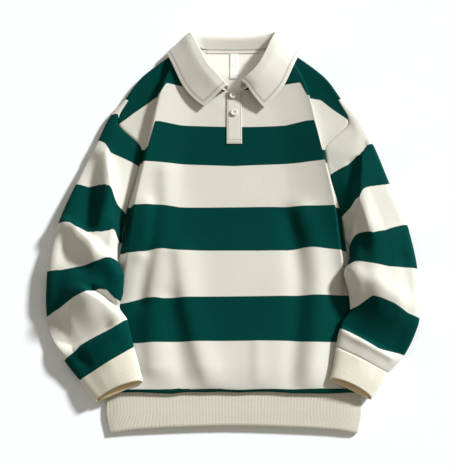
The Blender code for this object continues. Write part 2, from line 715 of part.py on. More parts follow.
def cuff_surface(side, along, angles, heights):
    """The cuff's outer face: a tube from the sleeve's end, with the top of its mouth drawn back."""
    rows = [np.array(SLEEVE_ROWS[side][-1], float)] + [np.array(row, float) for row in CUFF_ROWS[side]]
    middle = [(row[0:2] + row[2:4]) / 2 for row in rows]
    forward = unit(middle[1] - middle[0])
    rows[0][0:4] += np.tile(forward * CUFF_GAP, 2)
    points = between_rows(section_rings(rows, angles), along)
    back = unit(middle[0] - middle[-1]) * (-1, 1)
    last = len(rows) - 1
    drawn = CUFF_TOP_SET_BACK * (along[:, None] / last) ** 2 * np.sin(angles).clip(0)[None, :]
    points[..., :2] += drawn[..., None] * back
    points = lie_on(points, heights, 0)
    return points if side == "left" else (points * (-1, 1, 1))[:, ::-1]


def make_cuff(side, heights):
    """One rib cuff."""
    along = np.linspace(0, len(CUFF_ROWS[side]), CUFF_STEPS + 1)
    points = cuff_surface(side, along, armhole_ring()[1], heights)
    add_piece("cuff_" + side, *wall_mesh(points, RIB, closed=True), RIB_CREAM)


def band_surface(along, across, turn_steps):
    """The hem band's outer face: top, half circle at the right side, underside, then the left side."""
    top = net_surface(mirrored_on_centre(list(BAND_ROWS.values())), along, across)
    beta = np.linspace(90, -90, turn_steps + 1)[1:-1]
    radius = top[:, -1:, 2] / 2
    turn = np.empty((len(along), len(beta), 3))
    turn[..., 0] = top[:, -1:, 0] + radius * np.cos(np.radians(beta))
    turn[..., 1] = top[:, -1:, 1]
    turn[..., 2] = radius * (1 + np.sin(np.radians(beta)))
    below = top[:, ::-1] * (1, 1, 0)
    return np.concatenate([top, turn, below, turn[:, ::-1] * (-1, 1, 1)], axis=1)


def make_hem_band():
    """The rib band round the hem."""
    along = np.linspace(0, len(BAND_ROWS) - 1, BAND_STEPS[0] + 1)
    across = np.linspace(0, 2 * (len(BAND_ROWS["seam"]) - 1), BAND_STEPS[1] + 1)
    points = band_surface(along, across, BAND_TURN_STEPS)
    add_piece("hem_band", *wall_mesh(points, RIB, closed=True), RIB_CREAM)


def collar_surface(along, across):
    """The middle of the collar's cloth, from its left point round the back to its right point."""
    left = np.array(list(COLLAR_ROWS.values()), float) * (-1, 1, 1)
    right = np.array(list(COLLAR_ROWS.values()), float)[-2::-1]
    right[-1] = COLLAR_RIGHT_POINT
    return net_surface(np.concatenate([left, right]), along, across)


def make_collar():
    """The collar: a stand that rises from the neck seam, folded over into a leaf."""
    along = np.linspace(0, 2 * (len(COLLAR_ROWS) - 1), COLLAR_STEPS[0] + 1)
    across = np.linspace(0, len(COLLAR_RIGHT_POINT) - 1, COLLAR_STEPS[1] + 1)
    middle = collar_surface(along, across)
    outer = middle + grid_normals(middle, False) * COLLAR_CLOTH / 2
    add_piece("collar", *wall_mesh(outer, COLLAR_CLOTH, squared=False), COLLAR_CREAM)


def strip_on(profile, x_range, y_range, lift, steps):
    """A strip's outer face, at a constant height over a panel's profile along its centre line."""
    x, y = np.meshgrid(np.linspace(*x_range, steps[1] + 1), np.linspace(*y_range, steps[0] + 1))
    order = np.argsort(profile[:, 1])
    return np.stack([x, y, np.interp(y, profile[order, 1], profile[order, 2]) + lift], axis=-1)


def front_profile():
    """The front's outer face along its centre, above the hem."""
    middle = (2 * len(FRONT_ROWS["top"]) - 1) / 2
    return front_surface(np.linspace(3, len(FRONT_ROWS) - 1, 90), np.array([middle]))[:, 0]


def make_plackets():
    """The placket over the slit, and the under placket that fills the slit in line with the front."""
    profile = front_profile()
    over = (PLACKET_LEFT, PLACKET_RIGHT), (PLACKET_BOTTOM, PLACKET_TOP)
    points = strip_on(profile, *over, SEAM_GAP + PLACKET_CLOTH, PLACKET_STEPS)
    add_piece("placket", *wall_mesh(points, PLACKET_CLOTH), CREAM)
    slit = SLIT_HALF - SEAM_GAP
    bottom = FRONT_ROWS["slit"][-1][1] + SEAM_GAP
    under = (SLIT_CENTRE - slit, SLIT_CENTRE + slit), (bottom, PLACKET_TOP)
    points = strip_on(profile, *under, 0.0, PLACKET_STEPS)
    add_piece("under_placket", *wall_mesh(points, JERSEY), CREAM)


def make_neck_trim():
    """The tape over the back neck seam and the bare label below it, on the back's inner face."""
    middle = len(SHOULDER_TURN) - 1
    back = back_surface(np.linspace(5, len(BACK_ROWS) - 1, 60), np.array([middle, middle + 0.1]))[:, 0]
    face = JERSEY + SEAM_GAP
    tape = (-TAPE_HALF, TAPE_HALF), (TAPE_BOTTOM, TAPE_TOP)
    points = strip_on(back, *tape, face + TAPE_CLOTH, (2, 12))
    add_piece("neck_tape", *wall_mesh(points, TAPE_CLOTH), CREAM)
    half = LABEL_WIDTH / 2
    label = (LABEL_CENTRE - half, LABEL_CENTRE + half), (LABEL_BOTTOM, LABEL_TOP)
    points = strip_on(back, *label, face + LABEL_CLOTH, (10, 2))
    add_piece("label", *wall_mesh(points, LABEL_CLOTH), SATIN)


def make_buttons():
    """Two round buttons on the placket, with their rims rounded off."""
    profile = front_profile()
    radius = BUTTON_ACROSS / 2
    inside = radius - BUTTON_RIM
    rings = [(0.0, 0.0), (inside, 0.0), (radius, BUTTON_RIM), (radius, BUTTON_THICK - BUTTON_RIM)]
    rings += [(inside, BUTTON_THICK), (radius * 0.72, BUTTON_THICK), (radius * 0.62, BUTTON_THICK - 0.5)]
    turn = np.arange(BUTTON_SIDES) * 2 * np.pi / BUTTON_SIDES
    for name, (x, y) in BUTTONS.items():
        edge = strip_on(profile, (x, x), (y - radius, y + radius), 0.0, (4, 1))
        base = edge[..., 2].max() + 2 * SEAM_GAP + PLACKET_CLOTH
        vertices = [(x, y, base)]
        for ring_radius, rise in rings[1:]:
            for a in turn:
                vertices.append((x + ring_radius * math.cos(a), y + ring_radius * math.sin(a), base + rise))
        vertices.append((x, y, base + rings[-1][1]))
        faces = []
        for k in range(BUTTON_SIDES):
            here, after = 1 + k, 1 + (k + 1) % BUTTON_SIDES
            faces.append((0, after, here))
            for ring in range(len(rings) - 2):
                low, high = ring * BUTTON_SIDES, (ring + 1) * BUTTON_SIDES
                faces += [(here + low, after + low, after + high), (here + low, after + high, here + high)]
            top = (len(rings) - 2) * BUTTON_SIDES
            faces.append((here + top, after + top, len(vertices) - 1))
        add_piece(name, np.array(vertices), np.array(faces), RESIN)


def main():
    """Builds the whole garment."""
    for item in list(bpy.data.objects):
        bpy.data.objects.remove(item)
    heights = under_sleeves()
    make_front()
    make_back()
    for side in ("left", "right"):
        make_sleeve(side, heights)
        make_cuff(side, heights)
    make_hem_band()
    make_collar()
    make_plackets()
    make_neck_trim()
    make_buttons()


main()
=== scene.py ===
"""Long-sleeved polo sweatshirt, laid out flat on its back: cloth, stripes, ribs, stitches and buttons.

Run as a script, it dresses the loaded frame. Tables are in millimetres, as a pattern is drawn, and MM
turns them into metres when a mesh is made. In a table for a matched pair, x is the distance from the
centre line. +Y points to the neck, +X to the picture's right and +Z up from the surface it lies on.
"""

import math

import bmesh
import bpy
import numpy as np
from bpy.props import FloatProperty, FloatVectorProperty, PointerProperty
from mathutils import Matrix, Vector


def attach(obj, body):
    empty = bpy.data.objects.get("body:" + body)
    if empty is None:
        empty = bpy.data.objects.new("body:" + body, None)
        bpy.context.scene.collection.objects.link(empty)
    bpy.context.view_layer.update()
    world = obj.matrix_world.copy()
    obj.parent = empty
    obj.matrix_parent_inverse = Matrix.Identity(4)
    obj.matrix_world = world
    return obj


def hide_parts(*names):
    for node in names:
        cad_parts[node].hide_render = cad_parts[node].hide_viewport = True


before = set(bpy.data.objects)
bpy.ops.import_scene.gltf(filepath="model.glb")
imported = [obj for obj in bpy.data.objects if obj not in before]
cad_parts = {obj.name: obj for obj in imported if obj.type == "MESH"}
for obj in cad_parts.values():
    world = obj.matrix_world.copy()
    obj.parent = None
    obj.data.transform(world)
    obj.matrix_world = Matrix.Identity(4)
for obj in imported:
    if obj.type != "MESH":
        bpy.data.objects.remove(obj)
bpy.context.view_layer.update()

bl_info = {
    "name": "Striped polo sweatshirt",
    "version": (1, 0, 0),
    "blender": (4, 5, 0),
    "location": "3D View > Sidebar > Shirt",
    "description": "Builds a striped polo sweatshirt that lies flat, piece by piece",
    "category": "Object",
}

MM = 0.001
TINY = 1e-9
MERGE_DISTANCE = 1e-7

# The gaps between pieces at their seams, and how thick each cloth is.
SEAM_GAP = 0.3
ARMHOLE_GAP = 0.35
CUFF_GAP = 0.4
JERSEY = 1.8
RIB = 2.2
COLLAR_CLOTH = 3.0
PLACKET_CLOTH = 1.8
TAPE_CLOTH = 0.9
LABEL_CLOTH = 0.6

# Front panel: a row for each level from the hem seam up, and columns from the side seam to the middle.
# Each entry is x, y and the height of the outer face.
FRONT_ROWS = {
    # level: side, side_slope, foot, crest, mid, slit
    "seam": [
        (213, -297, 7.2), (206, -297, 8.2), (199, -297, 9.2),
        (181, -297, 10.2), (99, -297.5, 11.2), (9, -297.5, 11.2),
    ],
    "tuck": [
        (219, -304, 10.8), (212, -304.5, 11.8), (204, -305, 12.8),
        (185, -305, 14.0), (99, -306, 15.0), (9, -305.5, 15.0),
    ],
    "blouse": [
        (222, -297, 14.0), (214, -297.5, 15.2), (206, -298, 16.2),
        (186, -299, 17.6), (99, -300, 18.8), (9, -300, 18.8),
    ],
    "belly": [
        (227, -262, 5.6), (220, -262, 8.0), (213, -261, 10.4),
        (192, -260, 14.4), (99, -260, 23.0), (9, -261, 23.0),
    ],
    "stripe_6": [
        (229, -222, 4.2), (222, -221, 6.4), (214, -220, 9.0),
        (193, -218, 13.5), (100, -218, 23.0), (9, -219, 23.0),
    ],
    "stripe_5": [
        (224, -145, 4.2), (218, -144, 6.4), (210, -143, 8.8),
        (191, -140, 13.5), (98, -139, 23.0), (9, -140, 23.0),
    ],
    "stripe_4": [
        (205, -62, 6.0), (201, -62, 8.4), (197, -61, 10.5),
        (185, -59, 21.0), (99, -57, 21.5), (9, -56, 22.0),
    ],
    "stripe_3": [
        (194.6, 19, 9.6), (191.5, 22, 10.0), (187, 25, 11.5),
        (175, 25, 29.0), (97, 24, 20.0), (9, 25, 20.0),
    ],
    "stripe_2": [
        (178.7, 84, 10.5), (175, 94, 10.8), (170.5, 104, 12.5),
        (158, 110, 30.0), (89, 104, 19.5), (9, 104, 20.0),
    ],
    "slit": [
        (169.3, 138, 11.5), (165.5, 144, 11.6), (161, 150, 13.0),
        (148.5, 157, 29.5), (80, 160, 20.0), (9, 160, 20.0),
    ],
    "yoke": [
        (214.6, 194, 12.0), (188, 213, 11.5), (143.5, 248, 12.5),
        (127, 264, 27.0), (64, 238, 20.0), (9, 213, 20.0),
    ],
    "top": [
        (197, 237.4, 13.5), (171.3, 276, 13.8), (120, 321, 14.2),
        (85.5, 345, 15.0), (57, 293, 17.5), (9, 252, 18.0),
    ],
}
FRONT_COLUMNS = len(FRONT_ROWS["top"])
FRONT_MIDDLE = FRONT_COLUMNS - 0.5
LAST_FRONT_LEVEL = len(FRONT_ROWS) - 1
BLOUSE_LEVEL = 2
ARMPIT_LEVEL = 6 + 1 / 3
PROFILE_LEVEL = 3
SLIT_LEVEL = 9
SLIT_CENTRE = 1.5
SLIT_HALF = 11.0

# The crest of the fold beside each arm: how far it lies outside its column from stripe_4 up, left then
# right, how far outside the right one its painted shade is darkest, and how wide that is, both in columns.
CREST_COLUMN = 3
CREST_SHIFTS = ((1, 2, 3, 3, 2), (3, 6, 8, 8, 5))
CREST_PAINTED_SHADE_BEYOND = 0.12
CREST_PAINTED_SHADE_WIDTH = 0.3

# Over how many levels or columns a panel's folds fade in from its hem, its top and its side edges.
FADE_FROM_HEM = (1.6, 3.0)
FADE_FROM_TOP = (0.0, 1.0)
FADE_FROM_SIDE = (0.8, 2.0)


def across_back(side_x, side_y, slope_x, y):
    """A level of the back that lies flat, at the same y in every column but the side's."""
    return [(side_x, side_y, 0)] + [(x, y, 0) for x in (slope_x, 118, 82, 54, 0)]


# Back panel: the same for the height of its underside, with a row added for the turn at the shoulder.
BACK_ROWS = {
    # level: side, side_slope, collar_edge, neck_point, neck, centre
    "hem": across_back(219, -296, 172, -296),
    "waist": across_back(229, -222, 172, -222),
    "ribs": across_back(224, -145, 172, -145),
    "side": across_back(205.5, -64, 172, -64),
    "armpit": across_back(203, -35, 172, -33),
    "blade": across_back(197, 60, 170, 60),
    "upper": [
        (200, 170, 0), (170, 185, 0), (118, 200, 0),
        (82, 205, 0), (54, 205, 0), (0, 205, 0),
    ],
    "leaf": [
        (199, 212, 0), (171, 240, 0), (119, 272, 0),
        (83, 272, 0), (54, 266, 0), (0, 264, 0),
    ],
    "over": [
        (197.6, 230, 0), (171.4, 263, 0), (120, 301, 3.6),
        (85, 313, 4.4), (55, 305, 4.4), (0, 296, 4.4),
    ],
    "top": [
        (197.4, 238.0, 0), (171.9, 276.7, 0), (120.6, 321.8, 3.6),
        (86.3, 346.3, 4.4), (56, 339, 4.4), (0, 338, 4.4),
    ],
}
BACK_ARMPIT_LEVEL = 4
NECK_PROFILE_LEVEL = 5
UNDER_ARM = (-204.9, -39.4, 3.5)
LEVEL_SLACK = 0.01

# The turn forward over the shoulder: degrees, radius of the outer face, and the way that it faces in plan.
SHOULDER_TURN = [
    ("side", 180, 6.75, -0.80, 0.60),
    ("side_slope", 180, 6.90, -0.70, 0.71),
    ("collar_edge", 180, 5.30, -0.62, 0.78),
    ("neck_point", 165, 5.25, -0.50, 0.87),
    ("neck", 24, 10.0, -0.10, 0.99),
    ("centre", 12, 20.0, 0.0, 1.0),
]

# Sleeve: a row for each section from the armhole to the cuff. Outer and inner edge in plan, the height
# of the middles of those edges, then the height of the top at four places from the inner edge outwards.
SLEEVE_ROWS = {
    # outer_x, outer_y, inner_x, inner_y, outer_edge, inner_edge, inner_top, ridge, slope, outer_top
    "left": [
        (231.3, 204.5, 207.5, -44.0, 8.5, 6.5, 16, 25, 21, 17),
        (251.3, 156.7, 208.0, -49.0, 9.5, 7.0, 19, 31, 24, 19),
        (288.1, 72.1, 208.0, -56.5, 11.0, 8.0, 22, 36, 25, 22),
        (315.2, -1.6, 208.0, -68.0, 13.0, 11.5, 26, 37, 31, 26),
        (332.0, -91.0, 193.0, -104.0, 14.0, 26.0, 38, 42, 36, 28),
        (331.5, -140.0, 194.0, -133.0, 14.0, 25.0, 37, 41, 36, 28),
        (328.5, -172.6, 200.0, -157.0, 13.0, 23.0, 34, 37, 33, 26),
        (313.2, -220.0, 185.3, -181.0, 12.0, 23.5, 34, 36, 31, 24),
        (290.0, -256.0, 179.0, -204.0, 11.0, 23.5, 33, 35, 30, 23),
        (266.0, -284.5, 172.5, -228.5, 10.0, 22.5, 32, 32, 27, 22),
    ],
    "right": [
        (231.0, 207.0, 207.5, -44.0, 8.5, 6.5, 16, 25, 21, 17),
        (257.0, 154.0, 208.0, -49.0, 9.5, 7.0, 19, 31, 24, 19),
        (286.0, 71.0, 208.0, -56.5, 11.0, 8.0, 22, 36, 25, 22),
        (314.0, -8.0, 208.0, -68.0, 13.0, 11.5, 26, 37, 31, 26),
        (327.0, -85.0, 195.0, -99.0, 14.0, 26.0, 38, 42, 36, 28),
        (329.5, -135.0, 202.0, -132.0, 14.0, 24.0, 37, 41, 36, 28),
        (327.0, -175.0, 204.0, -160.0, 13.0, 22.0, 34, 37, 33, 26),
        (316.0, -207.0, 190.0, -184.0, 12.0, 23.5, 34, 36, 31, 24),
        (294.0, -245.0, 182.0, -205.0, 11.0, 23.5, 33, 35, 30, 23),
        (267.0, -272.5, 176.5, -229.0, 10.0, 22.5, 32, 32, 27, 22),
    ],
}

# Cuff: the same columns, for its middle and its mouth. It starts at the sleeve's last section.
CUFF_ROWS = {
    "left": [
        (251.0, -304.0, 163.0, -259.0, 12.0, 23.0, 32.5, 32.0, 29, 25),
        (236.0, -321.0, 155.0, -288.0, 13.0, 23.0, 33.0, 32.0, 29, 26),
    ],
    "right": [
        (252.0, -297.0, 171.5, -258.0, 12.0, 23.0, 32.5, 32.0, 29, 25),
        (236.0, -317.0, 164.0, -284.0, 13.0, 23.0, 33.0, 32.0, 29, 26),
    ],
}

# Where the armhole's edges lie on a sleeve's ring, and how its section is rounded: see section_rings.
FIRST_ANGLE = math.radians(14)
LAST_ANGLE = math.radians(163)
ANGLE_LEAD = 0.45
TOP_PLACES = (1.0, 0.62, 0.2, -0.3, -0.72, -1.0)
TOP_COLUMNS = (6, 6, 7, 8, 9, 9)
TOP_POWER = 4
UNDER_POWER = 6
EDGE_POWER = 0.45

# Over how many sections a sleeve's folds fade at its armhole and its cuff, and round its sides.
FADE_FROM_ARMHOLE = (0.1, 1.2)
FADE_FROM_CUFF = (0.0, 0.8)
FADE_ROUND_POWER = 0.7
CUFF_TOP_SET_BACK = 9.0
SLEEVE_LIES_ON_BODY_FROM = 4.2

# How a wall's inner face is evened out in a tight turn.
LEAST_STEP = 0.2
EVEN_ROUNDS = 30

# Hem band, a flattened tube: its top from where the side turns to the middle, bottom edge first.
BAND_ROWS = {
    # edge: side, side_slope, foot, crest, mid, centre
    "bottom": [
        (209.1, -373, 6.6), (202, -371.5, 7.6), (193, -370, 8.2),
        (177, -367.5, 9.0), (99, -362.5, 10.0), (0, -360, 10.0),
    ],
    "middle": [
        (217.2, -334, 6.8), (208, -334, 8.0), (199, -333, 9.0),
        (182, -332, 9.8), (99, -330, 10.8), (0, -329, 10.8),
    ],
    "seam": [
        (215.6, -296.6, 6.2), (207, -296.6, 7.8), (198, -296.6, 8.8),
        (181, -296.6, 9.8), (99, -296.6, 10.8), (0, -296.6, 10.8),
    ],
}
LAST_BAND_COLUMN = 2 * (len(BAND_ROWS["seam"]) - 1)

# Collar: a row for each section from the front point to the middle of the back, as middles of the cloth.
COLLAR_ROWS = {
    # section: neck, rise, fold, fall, rest, edge
    "point": [
        (11.5, 257.0, 17.5), (10.8, 257.5, 28), (13.0, 256.5, 36.5),
        (21, 249.5, 36.5), (36, 235.5, 32), (55, 219.5, 27),
    ],
    "front": [
        (29.0, 272.0, 17.5), (26.5, 275.5, 30), (30.0, 277.0, 40.5),
        (39.5, 270.0, 40.4), (55, 256.0, 35), (76.5, 237.5, 28),
    ],
    "chest": [
        (48.5, 289.5, 17.5), (44.5, 294.5, 30.5), (47.0, 296.5, 41.5),
        (56, 290.5, 41.2), (73, 278.0, 36), (94.5, 261.5, 29),
    ],
    "neck_side": [
        (65.0, 312.5, 17.5), (58.5, 319.5, 28.5), (60.5, 322.5, 39),
        (70, 318.0, 39), (88, 307.5, 34), (109, 293.0, 28),
    ],
    "over": [
        (73.0, 332.0, 17), (70.0, 344.5, 24.5), (72.5, 352.0, 32),
        (82, 349.0, 31.5), (100, 334.0, 26), (119, 317.0, 21),
    ],
    "side": [
        (79.5, 345.5, 17.6), (77.5, 361.5, 20.5), (81.5, 372.5, 19.5),
        (90, 369.0, 15.0), (107.5, 352.0, 11.5), (126.5, 334.0, 9.5),
    ],
    "turn": [
        (75.0, 350.2, 13.8), (76.0, 366.5, 16.5), (80.0, 376.0, 14.0),
        (87, 371.0, 6.5), (103, 350.5, 2.6), (122.7, 329.5, 2.0),
    ],
    "under": [
        (66.5, 347.8, 8.8), (70.0, 366.0, 12.5), (74.0, 376.3, 9.0),
        (79, 371.5, 2.6), (97, 347.5, 1.65), (116, 321.0, 1.6),
    ],
    "back_side": [
        (53.0, 344.3, 5.7), (58.0, 366.0, 10.0), (61.0, 374.8, 6.0),
        (62, 367.5, 1.7), (82, 340.0, 1.6), (104, 312.5, 1.6),
    ],
    "back": [
        (30.0, 343.2, 5.6), (33.0, 364.0, 9.4), (34.0, 372.0, 5.6),
        (34, 364.5, 1.6), (42, 336.0, 1.6), (55, 304.0, 1.6),
    ],
    "centre": [
        (0.0, 343.0, 5.5), (0.0, 363.0, 9.3), (0.0, 370.5, 5.6),
        (0, 363.0, 1.6), (0, 333.0, 1.6), (0, 300.0, 1.6),
    ],
}
# The right point is a little longer than the left one.
COLLAR_RIGHT_POINT = [
    (13.5, 259.0, 17.5), (13.0, 263.0, 27.5), (15.0, 266.0, 36),
    (23.0, 259.5, 36.5), (38, 238.0, 32), (56.5, 216.5, 27),
]

# The placket with its buttons, then the tape and the label inside the back neck.
PLACKET_LEFT = -12.5
PLACKET_RIGHT = 15.5
PLACKET_BOTTOM = 147.2
PLACKET_TOP = 251.0
BUTTON_ACROSS = 13.5
BUTTON_THICK = 2.8
BUTTONS = {"button_upper": (-1.0, 243.0), "button_lower": (1.6, 208.1)}
TAPE_HALF = 52.0
TAPE_BOTTOM = 335.6
TAPE_TOP = 341.3
LABEL_WIDTH = 15.0
LABEL_CENTRE = 1.2
LABEL_TOP = 335.2
LABEL_BOTTOM = 284.0

# Folds, as soft ridges on the cloth: where each runs in plan, its height (a trough is below zero), and
# its width on the left and on the right of the way that it runs. Here x is below zero on the left.
FRONT_FOLDS = [
    ([(-124, 90), (-121, 25), (-131, -61), (-142, -122), (-146, -181), (-139, -263)], 5.5, 28, 15),
    ([(-154, -61), (-164, -146)], -4.0, 14, 14),
    ([(-96, -62), (-84, -150), (-66, -220), (-44, -290)], 6.0, 28, 14),
    ([(-112, -140), (-100, -210), (-84, -285)], -3.5, 15, 20),
    ([(98, 12), (111, -40), (117, -110), (112, -180), (100, -290)], -5.0, 14, 20),
    ([(126, 12), (144, -50), (150, -110), (145, -190), (130, -290)], 6.0, 22, 19),
    ([(-156, 28), (-158, -15), (-164, -62)], 5.0, 12, 20),
    ([(40, -221), (40, -285)], 2.0, 16, 10),
]
SLEEVE_FOLDS = {
    "left": [
        ([(-238, 125), (-233, 105), (-224, 66), (-217, 40), (-211, -20), (-204, -68)], 9.5, 12, 28),
        ([(-262, 115), (-260, 90), (-259, 40), (-258, -8)], -8.0, 20, 22),
        ([(-303, -3), (-286, -12), (-268, -32), (-246, -54), (-222, -72), (-202, -100)], 11.0, 9, 22),
        ([(-308, -30), (-302, -55), (-285, -80), (-262, -92)], -6.0, 20, 16),
        ([(-285, 100), (-306, 20), (-322, -80)], 3.0, 18, 18),
        ([(-318, -118), (-285, -126), (-262, -134)], 4.0, 26, 34),
        ([(-258, -135), (-240, -146), (-218, -160), (-192, -181)], 12.0, 7, 34),
        ([(-213, -10), (-208, -40), (-203, -72)], 6.0, 10, 30),
        ([(-246, -129), (-224, -140), (-207, -156)], -10.0, 6, 6),
        ([(-326, -190), (-310, -214), (-282, -222), (-255, -210), (-225, -196)], -12.0, 36, 10),
        ([(-316, -230), (-290, -246), (-262, -236), (-232, -216), (-203, -200)], 4.0, 9, 12),
        ([(-262, -246), (-243, -268)], -4.0, 9, 9),
    ],
    "right": [
        ([(250, 139), (237, 122), (230, 60), (223, 24), (214, -32), (211, -75)], 9.0, 60, 6),
        ([(214, 110), (211, 60), (206, 10)], -4.0, 8, 8),
        ([(283, 100), (300, 40), (318, -60), (322, -140)], 4.0, 26, 30),
        ([(309, -15), (265, -44), (222, -72)], 6.0, 11, 8),
        ([(199, -100), (212, -109), (237, -120), (262, -136), (292, -156)], 10.0, 24, 44),
        ([(300, -70), (262, -88), (235, -98)], -4.0, 14, 14),
        ([(180, -181), (214, -201), (250, -221), (282, -234)], -11.0, 44, 9),
        ([(180, -194), (208, -213), (240, -229), (270, -246)], 3.0, 6, 7),
    ],
}

# The height map of what a sleeve or cuff lies on: its half size, cell, spread and the slope of its skirt.
MAP_HALF = 420.0
MAP_CELL = 3.0
MAP_SPREAD = 5
MAP_SKIRT = 5
MAP_DROP = 3.5
MAP_FRONT_STEPS = (260, 160)
MAP_BAND_STEPS = (60, 400)
MAP_BAND_TURN_STEPS = 9
MAP_BELOW_ARMPIT = 0.25

# Front panel stripes: across these places, how high each edge between two colours lies, hem first.
# The cloth is green before the first edge.
FRONT_STRIPE_X = (
    -215, -185, -157, -155, -145, -137, -125, -97, -45, 0,
    45, 97, 125, 137, 149, 161, 164, 185, 215,
)
FRONT_STRIPE_Y = [
    (-301,) * len(FRONT_STRIPE_X),
    (
        -221, -221, -220.5, -220.3, -219.8, -219.5, -219.5, -219, -218, -217.5,
        -217, -217, -219, -219.5, -219.4, -219.1, -219, -218, -218,
    ),
    (
        -153, -148, -140.5, -140.5, -140.5, -140.5, -142, -141, -139.5, -139,
        -138.5, -137.5, -136.5, -136, -135.9, -135.6, -135.5, -135.5, -135.5,
    ),
    (
        -59, -59.5, -57, -56.3, -54.1, -53, -52.5, -56, -56, -56,
        -56, -55, -50.5, -50, -50.6, -51.7, -52, -53.5, -54.5,
    ),
    (
        27, 27.3, 28.4, 28.5, 28.8, 29, 27.8, 24.5, 24.8, 25.2,
        25.8, 26.3, 26.8, 27, 27, 27, 27, 27, 27,
    ),
    (
        113, 113, 111, 110.8, 110.3, 110, 109, 107.3, 105.5, 103.8,
        106, 108, 109.7, 111, 111.7, 113, 113.4, 115, 115,
    ),
    (
        138, 138, 138, 146, 189, 189.5, 187.5, 183, 181.5, 180.4,
        180.7, 182.7, 188.5, 191.5, 192, 146, 138, 138, 138,
    ),
    (
        187, 212, 233, 235.1, 242, 245.5, 266, 260.5, 256, 252,
        257.8, 264, 267, 240.5, 239.8, 238.2, 237.8, 219.7, 197,
    ),
]

# The lowest green ends at this level of the front's rows, shifted at places across it. The stripe value
# rises by HEM_STRIPE_RISE a level above it.
HEM_STRIPE_LEVEL = 1.86
HEM_STRIPE_RISE = 4
HEM_STRIPE_WAVES = (
    (-215, -150, -120, -95, -75, -45, 0, 60, 90, 120, 150, 190, 215),
    (0, 0.03, 0.18, 0.24, 0, 0.1, -0.03, 0.03, 0.14, 0.2, 0.26, 0.2, 0.14),
)

# How far the puffed hem dips below or rises above its usual line, at places across the front.
TUCK_LEVEL = 1.3
HEM_WAVES = (
    (-215, -190, -160, -130, -105, -80, -50, -20, 10, 40, 70, 100, 130, 160, 190, 215),
    (0, 0, 0.5, -0.8, -1.6, 1.8, 1.0, 1.6, 0.2, 2.0, 1.8, -0.6, -1.2, -2.0, -1.0, 0),
)

# Sleeve stripes: how far along the sleeve's sections each edge lies, at even steps from the sleeve's
# inner edge to its outer edge. The cloth is cream before the first edge.
SLEEVE_STRIPES = {
    "left": [
        (-3, -2.75, -2.5, -2.25, -2, -1.75, -1.5, -1.25, -1, 0, 0.95),
        (-2.4, -2.1, -1.8, -1.5, -1.2, -0.9, 0.1, 1.03, 1.38, 1.7, 2),
        (-1.6, -1.05, -0.5, 0.7, 1.12, 1.75, 2.2, 2.48, 2.72, 2.86, 3),
        (0.3, 1.39, 2.6, 3.22, 3.56, 3.76, 3.8, 3.85, 3.85, 3.93, 4.03),
        (4.25, 4.29, 4.41, 4.55, 4.65, 4.75, 4.81, 4.88, 4.94, 4.97, 5),
        (6.6, 6.29, 5.78, 5.72, 5.86, 6.02, 6.18, 6.41, 6.64, 6.82, 7),
        (7.93, 8.11, 8.22, 8.27, 8.32, 8.36, 8.4, 8.46, 8.63, 8.71, 8.78),
    ],
    "right": [
        (-2.4, -2.04, -1.69, -1.33, -0.98, -0.35, 0.69, 1.3, 1.61, 1.81, 2.08),
        (-1.6, -0.93, -0.22, 1.12, 1.78, 1.98, 2.28, 2.53, 2.72, 2.88, 3),
        (1.8, 2.33, 2.78, 3.22, 3.58, 3.69, 3.79, 3.83, 3.88, 3.93, 3.98),
        (4.55, 4.5, 4.6, 4.7, 4.78, 4.85, 4.92, 4.95, 4.98, 5.01, 5.03),
        (7.05, 6.82, 6.49, 6.21, 6.29, 6.41, 6.53, 6.72, 6.9, 6.97, 7.03),
        (8.53, 8.61, 8.69, 8.78, 8.87, 8.94, 9.01, 8.98, 8.9, 8.85, 8.85),
    ],
}

# How finely each piece is divided: steps along it and across it.
HEM_CURL_STEPS = 16
LEVEL_STEPS = 15
FRONT_STEPS_BELOW_ARM = 120
FRONT_HALF_STEPS = 95
SLIT_STEPS = 8
BACK_LEVEL_STEPS = 12
BACK_STEPS = 150
TURN_STEPS = 12
SECOND_COLUMN = 5 / 13
SLEEVE_STEPS = 240
CUFF_STEPS = 22
BAND_STEPS = (16, 200)
BAND_TURN_STEPS = 14
POINTS_PER_RIB = 4
CUFF_RIBS = 88
HEM_RIBS = 360
COLLAR_STEPS = (320, 40)
COLLAR_END = 0.4
COLLAR_END_STEPS = 20
COLLAR_EDGE_STEPS = 28
STITCH_BENDS = 4
STITCH_SIDES = 6
PLACKET_STEPS = (160, 44)
UNDER_PLACKET_STEPS = (60, 12)
TAPE_STEPS = (14, 200)
LABEL_STEPS = (100, 30)
PROFILE_STEPS = 90
NECK_PROFILE_STEPS = 60
PLACKET_PATH_STEPS = 90
BOX_PATH_STEPS = 30
TAPE_PATH_STEPS = 120
THREAD_PATH_STEPS = 8
BUTTON_FLAT_STEPS = 26
BUTTON_RIM_STEPS = 15
BUTTON_TURN_STEPS = 72

# Stripes: how high the outermost ones are, the least height of one, how far the value may run past
# them, the value of plain cream, and half the width of the change from one colour to the other.
STRIPE_HEIGHT = 80.0
LEAST_EDGE = 0.01
STRIPE_OVERRUN = 0.9
CREAM_INSIDE = 0.5
STRIPE_EDGE = 0.02

# Painted shade and painted light: how much darker or paler than its own colour the cloth is painted in
# the ribs' grooves, along the topstitching and on the crest beside the right armhole (painted shade),
# and on the cuffs and inside the back (painted light).
RIB_GROOVE_PAINTED_SHADE = 0.84
SEAM_PAINTED_SHADE = 0.62
CREST_PAINTED_SHADE = 0.6
CUFF_PAINTED_LIGHT = 1.16
INSIDE_PAINTED_LIGHT = 1.32

# Where a Mix node has its factor and its two colours.
MIX_COLOUR_INPUTS = (0, 6, 7)

